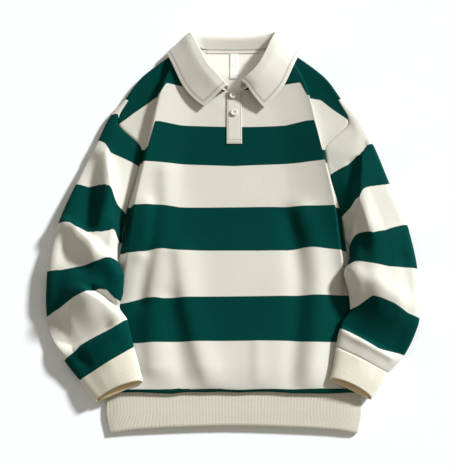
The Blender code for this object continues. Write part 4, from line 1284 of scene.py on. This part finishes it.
def material(name, make, *arguments, **fixed):
    """The named material, made the first time that it is asked for."""
    return bpy.data.materials.get(name) or make(name, *arguments, **fixed)


def striped_jersey():
    """The cloth of the panels and sleeves."""
    return material("striped_jersey", striped_finish)


def cream_jersey():
    """The cloth of the collar and both plackets."""
    return material("cream_jersey", knit_finish, bpy.context.scene.shirt_finish.collar)


def stripe_values(x, y):
    """How many colour edges the cloth has passed on the way up from the hem, with fractions between."""
    edges = np.array([np.interp(x, FRONT_STRIPE_X, row) for row in FRONT_STRIPE_Y])
    return edges_passed(edges, y, STRIPE_HEIGHT)


def edges_passed(edges, value, width):
    """The fractional number of edges that the value has passed; width is a stripe's outside them."""
    edges = np.maximum.accumulate(edges, axis=0) + LEAST_EDGE * np.arange(len(edges))[:, None, None]
    below = np.clip((value - edges[0]) / width, -STRIPE_OVERRUN, 0)
    above = np.clip((value - edges[-1]) / width, 0, STRIPE_OVERRUN)
    within = sum(np.clip((value - low) / (high - low), 0, 1) for low, high in zip(edges[:-1], edges[1:]))
    return below + within + above


def sleeve_stripes(side, along, angles):
    """The stripe value over a left sleeve's grid, the same above and below."""
    u = np.cos(angles)
    places = np.linspace(1, -1, len(SLEEVE_STRIPES[side][0]))
    edges = np.array([np.interp(-u, -places, row) for row in SLEEVE_STRIPES[side]])
    grid = np.repeat(along[:, None], len(u), axis=1)
    return 1 + edges_passed(np.repeat(edges[:, None], len(along), axis=1), grid, 1.0)


def pressed(points, closed, distance, depth, width):
    """The points, pressed in near a seam: by depth * exp(-(distance / width)^2)."""
    return points - grid_normals(points, closed) * (depth * np.exp(-((distance / width) ** 2)))[..., None]


def from_border(points, rows=(), columns=()):
    """How far each grid point lies from the nearest of the given border rows (0, -1) and columns."""
    distance = np.full(points.shape[:2], np.inf)
    for axis, borders in ((0, rows), (1, columns)):
        lengths = arc_lengths(points, axis)
        for border in borders:
            start = np.take(lengths, [border], axis=axis)
            distance = np.minimum(distance, np.abs(lengths - start))
    return distance


def stitches(name, path, up, sizes=None):
    """A row of stitches along a path: each is a small rounded bar, sunk a little at both ends.

    path is points along the seam and up the cloth's normals there. sizes is the stitch's length, the gap
    after it and its width, or those of the settings. A stitch rises by its width * STITCH_ARCH sin(pi f).
    """
    length, gap, width = sizes or (size("stitch_length"), size("stitch_gap"), size("stitch_width"))
    steps = path_lengths(path)
    count = max(int(steps[-1] // (length + gap)), 1)
    starts = np.arange(count) * (length + gap)
    bends = np.linspace(0, 1, STITCH_BENDS)
    places = (starts[:, None] + bends[None, :] * length).ravel()
    centre = np.stack([np.interp(places, steps, path[:, axis]) for axis in range(3)], axis=-1)
    normal = unit(np.stack([np.interp(places, steps, up[:, axis]) for axis in range(3)], axis=-1))
    centre = centre.reshape(count, STITCH_BENDS, 3)
    normal = normal.reshape(count, STITCH_BENDS, 3)
    forward = unit(centre[:, -1:] - centre[:, :1])
    sideways = unit(np.cross(normal, forward))
    arch = np.sin(np.pi * bends)[None, :, None]
    centre = centre + normal * width * (arch * STITCH_ARCH - SEWING_SINK)
    radius = width / 2 * (STITCH_END + (1 - STITCH_END) * arch)
    turn = np.arange(STITCH_SIDES) * math.tau / STITCH_SIDES
    ring = normal[:, :, None] * np.sin(turn)[:, None] + sideways[:, :, None] * np.cos(turn)[:, None]
    vertices = (centre[:, :, None] + ring * radius[..., None]).reshape(-1, 3)
    number = np.arange(STITCH_BENDS * STITCH_SIDES).reshape(STITCH_BENDS, STITCH_SIDES)
    after = np.roll(number, -1, axis=1)
    sides = np.stack([number[:-1], after[:-1], after[1:], number[1:]], axis=-1).reshape(-1, 4)
    half = STITCH_SIDES // 2
    caps = []
    for row in (number[0][::-1], number[-1]):
        caps += [(row[k], row[k + 1], row[-2 - k], row[-1 - k]) for k in range(half - 1)]
    faces = np.concatenate([sides, np.array(caps)])
    faces = (faces[None] + np.arange(count)[:, None, None] * number.size).reshape(-1, 4)
    colour = bpy.context.scene.shirt_finish.thread
    thread = material("sewing_thread", plain_finish, colour, roughness=0.6)
    seam = new_object(name, vertices, faces, thread)


def sewn_on(name, surface, path):
    """Stitches along a path of points in plan, on a surface given as a grid of points seen from above."""
    grid = surface.reshape(-1, 3)
    normals = grid_normals(surface, False).reshape(-1, 3)
    nearest = np.argmin(np.linalg.norm(grid[None, :, :2] - path[:, None, :2], axis=-1), axis=1)
    placed = np.concatenate([path[:, :2], grid[nearest, 2:]], axis=1)
    stitches(name, placed, normals[nearest])


def line_between(start, end, count):
    """Points at even steps between two places in plan."""
    share = np.linspace(0, 1, count)[:, None]
    return np.array(start, float) * (1 - share) + np.array(end, float) * share


def inset_line(grid, inset):
    """Where each line across a grid comes within the inset of the grid's last column, measured over it.

    The first three values of a grid point are its place. The others are worked out in the same way.
    """
    lengths = arc_lengths(grid[..., :3], 1)
    left = lengths[:, -1:] - lengths
    after = np.argmax(left < inset, axis=1)
    line = np.arange(len(grid))
    near, far = left[line, after], left[line, after - 1]
    f = ((far - inset) / (far - near))[:, None]
    return grid[line, after - 1] * (1 - f) + grid[line, after] * f


def make_front():
    """The front panel, with the slit for the placket left out."""
    along = front_levels()
    across = front_places()
    points = front_surface(along, across)
    row_middles = (along[:-1] + along[1:]) / 2
    column_middles = (across[:-1] + across[1:]) / 2
    in_slit = (column_middles > FRONT_COLUMNS - 1) & (column_middles < FRONT_COLUMNS)
    keep = ~((row_middles > SLIT_LEVEL)[:, None] & in_slit[None, :])
    stripe = stripe_values(points[..., 0], points[..., 1])
    level = HEM_STRIPE_LEVEL + np.interp(points[..., 0], *HEM_STRIPE_WAVES)
    above = along[:, None] - level
    stripe = np.where(above < 0, above, np.minimum(stripe, above * HEM_STRIPE_RISE))
    depth = size("seam_depth") * np.where(along > ARMPIT_LEVEL, 1.0, SEAM_DEPTH_BELOW_ARM)[:, None]
    points = pressed(points, False, from_border(points, columns=(0, -1)), depth, SEAM_WIDTH)
    wall = Wall(points, JERSEY, keep=keep)
    # Painted shade on the crest beside the right armhole, carried by the seam value.
    beyond = across - across[-1] + CREST_COLUMN - CREST_PAINTED_SHADE_BEYOND
    crest = np.broadcast_to(np.exp(-((beyond / CREST_PAINTED_SHADE_WIDTH) ** 2)), stripe.shape)
    piece = add_cloth("front_panel", wall, striped_jersey(), stripe=stripe, seam=crest)
    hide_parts("front")


def make_back():
    """The back panel. Its outer face looks down, so the grid is turned over for the wall.

    Only that face and the edges are striped: the inner one is plain cream, painted paler as painted light.
    """
    across = np.linspace(0, 2 * (len(SHOULDER_TURN) - 1), BACK_STEPS + 1)
    points = back_surface(back_levels(), across)[:, ::-1]
    stripe = stripe_values(points[..., 0], points[..., 1])
    wall = Wall(points, JERSEY)
    # The inner face's inside value paints it paler, as painted light.
    inner = {"stripe": CREAM_INSIDE, "inside": 1.0}
    outside = np.zeros_like(stripe)
    piece = add_cloth("back_panel", wall, striped_jersey(), inner, stripe=stripe, inside=outside)
    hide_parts("back")


def make_sleeve(side, heights):
    """One sleeve, a puffed tube from the armhole to the cuff seam."""
    along = np.linspace(0, len(SLEEVE_ROWS[side]), SLEEVE_STEPS + 1)
    points = sleeve_surface(side, along, heights)
    stripe = sleeve_stripes(side, along, armhole_ring()[1])
    if side == "right":
        stripe = stripe[:, ::-1]
    points = pressed(points, True, from_border(points, rows=(0, -1)), size("seam_depth"), SEAM_WIDTH)
    wall = Wall(points, JERSEY, closed=True, even=True)
    piece = add_cloth("sleeve_tube_" + side, wall, striped_jersey(), stripe=stripe)
    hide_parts("sleeve_" + side)


def make_sleeves():
    """Both sleeves, over what they lie on."""
    heights = under_sleeves()
    for side in ("left", "right"):
        make_sleeve(side, heights)


def rib_grooves(count, ribs):
    """The ribs round a tube at count places: rounded tops with narrow grooves, 0 at a top, 1 in a groove.

    It is 1 - |sin(pi times the ribs passed)|^RIB_POWER.
    """
    return 1 - np.abs(np.sin(np.pi * (np.arange(count) / count * ribs))) ** RIB_POWER


def make_cuff(side, heights):
    """One rib cuff: a short tube whose outer face is lower in the grooves between its ribs."""
    along = np.linspace(0, len(CUFF_ROWS[side]), CUFF_STEPS + 1)
    count = CUFF_RIBS * POINTS_PER_RIB
    angles = np.linspace(0, 2 * np.pi, count + 1)[:-1]
    points = evenly_round(cuff_surface(side, along, angles, heights), count)
    # The cuffs' rib is a paler copy of the band's, as painted light.
    piece = rib_piece("rib_cuff_" + side, points, CUFF_RIBS, "cuff_rib", CUFF_PAINTED_LIGHT)
    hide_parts("cuff_" + side)


def make_cuffs():
    """Both cuffs, over what they lie on."""
    heights = under_sleeves()
    for side in ("left", "right"):
        make_cuff(side, heights)


def rib_piece(name, points, ribs, knit, shade):
    """A rib-knit tube on a grid whose columns are even steps round it."""
    groove = rib_grooves(points.shape[1], ribs)
    normals = grid_normals(points, True)
    outer = points - normals * (groove * size("rib_depth"))[None, :, None]
    inner = evened(points - normals * RIB, points, True)
    rib = np.repeat(groove[None, :], len(points), axis=0)
    wall = Wall(outer, RIB, closed=True, inner=inner)
    finish = material(knit, rib_finish, shade)
    # The inner face's inside value gives it the rib's painted light colour.
    piece = add_cloth(name, wall, finish, {"inside": 1.0}, rib=rib, inside=np.zeros_like(rib))
    return piece


def make_hem_band():
    """The rib band round the hem."""
    along = np.linspace(0, len(BAND_ROWS) - 1, BAND_STEPS[0] + 1)
    across = np.linspace(0, LAST_BAND_COLUMN, BAND_STEPS[1] + 1)
    coarse = band_surface(along, across, BAND_TURN_STEPS)
    points = evenly_round(coarse, HEM_RIBS * POINTS_PER_RIB)
    piece = rib_piece("rib_hem", points, HEM_RIBS, "fine_rib", 1.0)
    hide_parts("hem_band")


def evenly_round(points, count):
    """The closed grid with count points to a row, at even steps of the middle row's length."""
    middle = points[len(points) // 2]
    ring = np.concatenate([middle, middle[:1]])
    length = path_lengths(ring)
    place = np.interp(np.arange(count) / count * length[-1], length, np.arange(len(length)))
    low = place.astype(int)
    f = (place - low)[None, :, None]
    return points[:, low % len(middle)] * (1 - f) + points[:, (low + 1) % len(middle)] * f


def collar_grid():
    """The middle of the collar's cloth on a fine grid, finest near the leaf's topstitched edges."""
    last = 2 * (len(COLLAR_ROWS) - 1)
    ends = np.linspace(0, COLLAR_END, COLLAR_END_STEPS + 1)[:-1]
    middle = np.linspace(COLLAR_END, last - COLLAR_END, COLLAR_STEPS[0] + 1)
    along = np.concatenate([ends, middle, last - ends[::-1]])
    edge = len(COLLAR_RIGHT_POINT) - 1
    inside = np.linspace(0, edge - COLLAR_END, COLLAR_STEPS[1] + 1)
    across = np.concatenate([inside, np.linspace(edge - COLLAR_END, edge, COLLAR_EDGE_STEPS + 1)[1:]])
    return collar_surface(along, across)


def make_collar():
    """The collar: a stand that rises from the neck seam, folded over into a leaf, topstitched round."""
    middle = collar_grid()
    distance = from_border(middle, rows=(0, -1), columns=(-1,))
    leaf = arc_lengths(middle, 1)
    inset = size("stitch_inset")
    groove = COLLAR_GROOVE[0] * np.exp(-(((distance - inset) / COLLAR_GROOVE[1]) ** 2))
    rolled = EDGE_ROLL * (1 - smooth_step(distance, 0.0, inset / 2))
    rolled -= MARGIN_PUFF * np.sin(np.pi * np.clip(distance / inset, 0, 1))
    normals = grid_normals(middle, False)
    half = COLLAR_CLOTH / 2
    on_leaf = smooth_step(leaf, *LEAF_STARTS)
    outer = middle + normals * (half - (groove + rolled) * on_leaf)[..., None]
    inner = middle - normals * half
    wall = Wall(outer, COLLAR_CLOTH, inner=inner)
    # The seam value paints shade into the topstitching groove.
    seam = groove / COLLAR_GROOVE[0] * on_leaf
    piece = add_cloth("shirt_collar", wall, cream_jersey(), seam=seam)
    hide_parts("collar")
    path = collar_seam(np.concatenate([outer, grid_normals(outer, False)], axis=-1), inset, leaf)
    stitches("collar_topstitch", path[:, :3], unit(path[:, 3:]))


def collar_seam(grid, inset, leaf):
    """The topstitching's path: in from the fold, round both points and along the leaf's edge."""
    edge = inset_line(grid, inset)
    columns = np.swapaxes(grid, 0, 1)
    start, end = inset_line(columns[:, ::-1], inset), inset_line(columns, inset)
    lengths = arc_lengths(grid[..., :3], 0)
    on_edge = (lengths > inset).all(1) & (lengths[-1:] - lengths > inset).all(1)
    out = leaf[:, -1:] - leaf > inset
    first = out[0] & (leaf[0] > LEAF_STARTS[0])
    last = out[-1] & (leaf[-1] > LEAF_STARTS[0])
    return np.concatenate([start[first], edge[on_edge], end[last][::-1]])


def strip_surface(profile, x_range, y_range, lift, steps, crown):
    """A strip's outer face over a panel's profile along its centre line, with its edges rounded down."""
    points = strip_on(profile, x_range, y_range, lift, steps)
    distance = from_border(points, rows=(0, -1), columns=(0, -1))
    points[..., 2] -= crown * (1 - smooth_step(distance, 0.0, CROWN_WIDTH))
    return points


def make_plackets():
    """The placket over the slit, and the under placket that fills the slit in line with the front."""
    inset = size("placket_inset")
    profile = front_profile()
    lift = SEAM_GAP + PLACKET_CLOTH
    over = (PLACKET_LEFT, PLACKET_RIGHT), (PLACKET_BOTTOM, PLACKET_TOP)
    points = strip_surface(profile, *over, lift, PLACKET_STEPS, PLACKET_CROWN)
    distance = from_border(points, rows=(0,), columns=(0, -1))
    distance = np.minimum(np.abs(distance - inset), np.abs(points[..., 1] - PLACKET_BOX_Y))
    seam = np.exp(-((distance / GROOVE_WIDTH) ** 2))
    points[..., 2] -= GROOVE_DEPTH * seam
    # The seam value presses in the grooves and also paints shade into them.
    piece = add_cloth("placket_strip", Wall(points, PLACKET_CLOTH), cream_jersey(), seam=seam)
    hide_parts("placket")
    left, right, bottom = PLACKET_LEFT + inset, PLACKET_RIGHT - inset, PLACKET_BOTTOM + inset
    corners = [(left, PLACKET_TOP), (left, bottom), (right, bottom), (right, PLACKET_TOP)]
    sides = zip(corners[:-1], corners[1:])
    path = np.concatenate([line_between(start, end, PLACKET_PATH_STEPS) for start, end in sides])
    sewn_on("placket_topstitch", points, path)
    path = line_between((left, PLACKET_BOX_Y), (right, PLACKET_BOX_Y), BOX_PATH_STEPS)
    sewn_on("placket_box_stitch", points, path)
    slit = SLIT_HALF - SEAM_GAP
    bottom = FRONT_ROWS["slit"][-1][1] + SEAM_GAP
    under = (SLIT_CENTRE - slit, SLIT_CENTRE + slit), (bottom, PLACKET_TOP)
    points = strip_surface(profile, *under, 0.0, UNDER_PLACKET_STEPS, 0.0)
    piece = add_cloth("placket_under_strip", Wall(points, JERSEY), cream_jersey())
    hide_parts("under_placket")


def make_neck_trim():
    """The tape over the back neck seam and the bare label below it, on the back's inner face."""
    look = bpy.context.scene.shirt_finish
    middle = len(SHOULDER_TURN) - 1
    levels = np.linspace(NECK_PROFILE_LEVEL, len(BACK_ROWS) - 1, NECK_PROFILE_STEPS)
    back = back_surface(levels, np.array([middle]))[:, 0]
    face = JERSEY + SEAM_GAP
    tape = (-TAPE_HALF, TAPE_HALF), (TAPE_BOTTOM, TAPE_TOP)
    points = strip_surface(back, *tape, face + TAPE_CLOTH, TAPE_STEPS, TAPE_CROWN)
    finish = material("cotton_tape", plain_finish, look.tape, roughness=0.8, grain=0.0003)
    piece = add_cloth("neck_seam_tape", Wall(points, TAPE_CLOTH), finish)
    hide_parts("neck_tape")
    end = TAPE_HALF - TAPE_STITCH_INSET
    for name, y in (("lower", TAPE_BOTTOM + TAPE_STITCH_INSET), ("upper", TAPE_TOP - TAPE_STITCH_INSET)):
        path = line_between((-end, y), (end, y), TAPE_PATH_STEPS)
        sewn_on(f"tape_stitch_{name}", points, path)
    half = LABEL_WIDTH / 2
    label = (LABEL_CENTRE - half, LABEL_CENTRE + half), (LABEL_BOTTOM, LABEL_TOP)
    points = strip_surface(back, *label, face + LABEL_CLOTH, LABEL_STEPS, LABEL_CROWN)
    wave = np.sin(points[..., 1] * LABEL_WAVE) * smooth_step(LABEL_TOP - points[..., 1], *LABEL_WAVE_FADE)
    points[..., 2] += LABEL_LIFT * (1 + wave)
    satin = material("bare_satin", plain_finish, look.satin, roughness=0.35, Sheen_Weight=0.4)
    piece = add_cloth("neck_label", Wall(points, LABEL_CLOTH), satin)
    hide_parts("label")


def make_button(name, x, y, profile):
    """One four-holed button, a profile turned round its centre: a rounded rim, then a dish in its middle.

    With r the share of the radius, the dish goes down by BUTTON_DISH inside the rim, and each of four
    holes by HOLE_DEPTH * exp(-(d / HOLE_SIZE)^HOLE_POWER), where d is the distance from its middle.
    """
    look = bpy.context.scene.shirt_finish
    radius = BUTTON_ACROSS / 2
    edge = strip_on(profile, (x, x), (y - radius, y + radius), 0.0, (4, 1))
    base = edge[..., 2].max() + 2 * SEAM_GAP + PLACKET_CLOTH
    flat = np.linspace(0, RIM_STARTS, BUTTON_FLAT_STEPS)
    share = np.concatenate([flat, np.linspace(RIM_STARTS, 1.0, BUTTON_RIM_STEPS)[1:]])
    turn = np.arange(BUTTON_TURN_STEPS) / BUTTON_TURN_STEPS * math.tau
    r, a = np.meshgrid(share * radius, turn, indexing="ij")
    rim = np.clip((share - RIM_STARTS) / (1 - RIM_STARTS), 0, 1)
    rounded = BUTTON_THICK / 2 * (1 - np.sqrt(1 - rim**2))
    top = BUTTON_THICK - BUTTON_DISH * (1 - smooth_step(share, *DISH_EDGE)) - rounded
    z = np.repeat(top[:, None], len(turn), axis=1)
    plan = np.stack([r * np.cos(a), r * np.sin(a)], axis=-1)
    hole_turn = math.pi / 4 + np.arange(4) * math.pi / 2
    for middle in HOLES_OUT * np.stack([np.cos(hole_turn), np.sin(hole_turn)], axis=-1):
        distance = np.linalg.norm(plan - middle, axis=-1)
        z -= HOLE_DEPTH * np.exp(-((distance / HOLE_SIZE) ** HOLE_POWER))
    face = np.concatenate([plan + (x, y), base + z[..., None]], axis=-1)
    under = face[::-1].copy()
    under[..., 2] = base + rounded[::-1, None]
    grid = np.concatenate([face, under[1:]])
    number = np.arange(grid.shape[0] * grid.shape[1]).reshape(grid.shape[:2])
    after = np.roll(number, -1, axis=1)
    quads = np.stack([number[:-1], number[1:], after[1:], after[:-1]], axis=-1).reshape(-1, 4)
    resin = material("button_resin", plain_finish, look.button, roughness=0.28, Coat_Weight=0.3)
    piece = new_object(name + "_turned", grid.reshape(-1, 3), quads, resin)
    merge_points(piece)
    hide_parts(name)
    out = HOLES_OUT * math.sin(math.pi / 4)
    height = base + BUTTON_THICK - BUTTON_DISH
    one_stitch = (2 * out - THREAD_SLACK, 0.0, THREAD_WIDTH)
    up = np.tile((0.0, 0.0, 1.0), (THREAD_PATH_STEPS, 1))
    for row, sign in (("upper", 1), ("lower", -1)):
        path = np.tile((x, y + sign * out, height), (THREAD_PATH_STEPS, 1))
        path[:, 0] += np.linspace(-out, out, THREAD_PATH_STEPS)
        stitches(f"{name}_thread_{row}", path, up, one_stitch)


def make_buttons():
    """Both buttons, with their thread."""
    profile = front_profile()
    for name, (x, y) in BUTTONS.items():
        make_button(name, x, y, profile)


def merge_points(piece):
    """Joins points in the same place, such as a pole's."""
    mesh = bmesh.new()
    mesh.from_mesh(piece.data)
    bmesh.ops.remove_doubles(mesh, verts=mesh.verts, dist=MERGE_DISTANCE)
    bmesh.ops.recalc_face_normals(mesh, faces=mesh.faces)
    mesh.to_mesh(piece.data)
    mesh.free()


def make_stage():
    """A pale floor, a key light from the upper right, soft light all round, and the photo's camera."""
    look = bpy.context.scene.shirt_finish
    finish = Finish("studio_floor", Roughness=0.9)
    clouds = finish.noise(FLOOR_CLOUD_SCALE)
    finish.colour(finish.mixed(clouds, rgba(look.floor, FLOOR_SHADE), rgba(look.floor)))
    side = np.linspace(-FLOOR_HALF, FLOOR_HALF, 3)
    x, y = np.meshgrid(side, side)
    points = np.stack([x, y, np.full_like(x, FLOOR_DROP)], axis=-1)
    number = np.arange(x.size).reshape(x.shape)
    faces = np.stack([number[:-1, :-1], number[:-1, 1:], number[1:, 1:], number[1:, :-1]], axis=-1)
    floor = new_object("floor", points.reshape(-1, 3), faces.reshape(-1, 4), finish.material, rides=False)
    scene = bpy.context.scene
    light = bpy.data.lights.new("key_light", "SUN")
    light.energy = KEY_STRENGTH
    light.angle = KEY_ANGLE
    lamp = bpy.data.objects.new("key_light", light)
    lamp.rotation_euler = Vector(KEY_FROM).to_track_quat("Z", "Y").to_euler()
    scene.collection.objects.link(lamp)
    world = bpy.data.worlds.new("studio")
    world.use_nodes = True
    background = world.node_tree.nodes["Background"]
    background.inputs["Color"].default_value = FILL_COLOUR
    background.inputs["Strength"].default_value = FILL_STRENGTH
    scene.world = world
    scene.view_settings.view_transform = "Standard"
    camera = bpy.data.cameras.new("camera")
    camera.sensor_width = SENSOR
    camera.lens = LENS
    holder = bpy.data.objects.new("camera", camera)
    tilt = math.radians(CAMERA_TILT)
    holder.location = Vector(AIM) + CAMERA_DISTANCE * Vector((0, -math.sin(tilt), math.cos(tilt)))
    holder.rotation_euler = (tilt, 0, 0)
    scene.collection.objects.link(holder)
    bpy.context.scene.camera = holder


class ShirtOperator:
    """What every operator here shares: it makes its pieces and is then finished."""

    bl_options = {"REGISTER", "UNDO"}

    def execute(self, context):
        self.make()
        return {"FINISHED"}


class SHIRT_OT_front(ShirtOperator, bpy.types.Operator):
    """Adds the striped front panel"""

    bl_idname = "shirt.front"
    bl_label = "Front panel"
    make = staticmethod(make_front)


class SHIRT_OT_back(ShirtOperator, bpy.types.Operator):
    """Adds the back panel"""

    bl_idname = "shirt.back"
    bl_label = "Back panel"
    make = staticmethod(make_back)


class SHIRT_OT_sleeves(ShirtOperator, bpy.types.Operator):
    """Adds both striped sleeves"""

    bl_idname = "shirt.sleeves"
    bl_label = "Sleeves"
    make = staticmethod(make_sleeves)


class SHIRT_OT_cuffs(ShirtOperator, bpy.types.Operator):
    """Adds both rib cuffs"""

    bl_idname = "shirt.cuffs"
    bl_label = "Cuffs"
    make = staticmethod(make_cuffs)


class SHIRT_OT_hem_band(ShirtOperator, bpy.types.Operator):
    """Adds the rib band round the hem"""

    bl_idname = "shirt.hem_band"
    bl_label = "Hem band"
    make = staticmethod(make_hem_band)


class SHIRT_OT_collar(ShirtOperator, bpy.types.Operator):
    """Adds the turned-down collar with its topstitching"""

    bl_idname = "shirt.collar"
    bl_label = "Collar"
    make = staticmethod(make_collar)


class SHIRT_OT_plackets(ShirtOperator, bpy.types.Operator):
    """Adds the placket, the strip under it and their stitching"""

    bl_idname = "shirt.plackets"
    bl_label = "Placket"
    make = staticmethod(make_plackets)


class SHIRT_OT_neck_trim(ShirtOperator, bpy.types.Operator):
    """Adds the tape and the bare label inside the back neck"""

    bl_idname = "shirt.neck_trim"
    bl_label = "Neck tape and label"
    make = staticmethod(make_neck_trim)


class SHIRT_OT_buttons(ShirtOperator, bpy.types.Operator):
    """Adds the two buttons and their thread"""

    bl_idname = "shirt.buttons"
    bl_label = "Buttons"
    make = staticmethod(make_buttons)


class SHIRT_OT_stage(ShirtOperator, bpy.types.Operator):
    """Adds the floor, the lights and the camera"""

    bl_idname = "shirt.stage"
    bl_label = "Stage"
    make = staticmethod(make_stage)


OPERATORS = (
    SHIRT_OT_front,
    SHIRT_OT_back,
    SHIRT_OT_sleeves,
    SHIRT_OT_cuffs,
    SHIRT_OT_hem_band,
    SHIRT_OT_collar,
    SHIRT_OT_plackets,
    SHIRT_OT_neck_trim,
    SHIRT_OT_buttons,
    SHIRT_OT_stage,
)


class SHIRT_PT_panel(bpy.types.Panel):
    """The shirt's settings and pieces in the sidebar"""

    bl_idname = "SHIRT_PT_panel"
    bl_label = "Striped polo sweatshirt"
    bl_space_type = "VIEW_3D"
    bl_region_type = "UI"
    bl_category = "Shirt"

    def draw(self, context):
        for group in (context.scene.shirt_sizes, context.scene.shirt_finish):
            box = self.layout.box()
            for key in group.__annotations__:
                box.prop(group, key)
        for operator in OPERATORS:
            self.layout.operator(operator.bl_idname)


CLASSES = (ShirtSizes, ShirtFinish, *OPERATORS, SHIRT_PT_panel)


def register():
    """Registers the settings, the operators and the panel."""
    for cls in CLASSES:
        bpy.utils.register_class(cls)
    bpy.types.Scene.shirt_sizes = PointerProperty(type=ShirtSizes)
    bpy.types.Scene.shirt_finish = PointerProperty(type=ShirtFinish)


def unregister():
    """Removes what register added."""
    del bpy.types.Scene.shirt_finish
    del bpy.types.Scene.shirt_sizes
    for cls in reversed(CLASSES):
        bpy.utils.unregister_class(cls)


def main():
    """Builds the whole shirt on its stage."""
    register()
    bpy.ops.shirt.front()
    bpy.ops.shirt.back()
    bpy.ops.shirt.sleeves()
    bpy.ops.shirt.cuffs()
    bpy.ops.shirt.hem_band()
    bpy.ops.shirt.collar()
    bpy.ops.shirt.plackets()
    bpy.ops.shirt.neck_trim()
    bpy.ops.shirt.buttons()
    bpy.ops.shirt.stage()


if __name__ == "__main__":
    main()
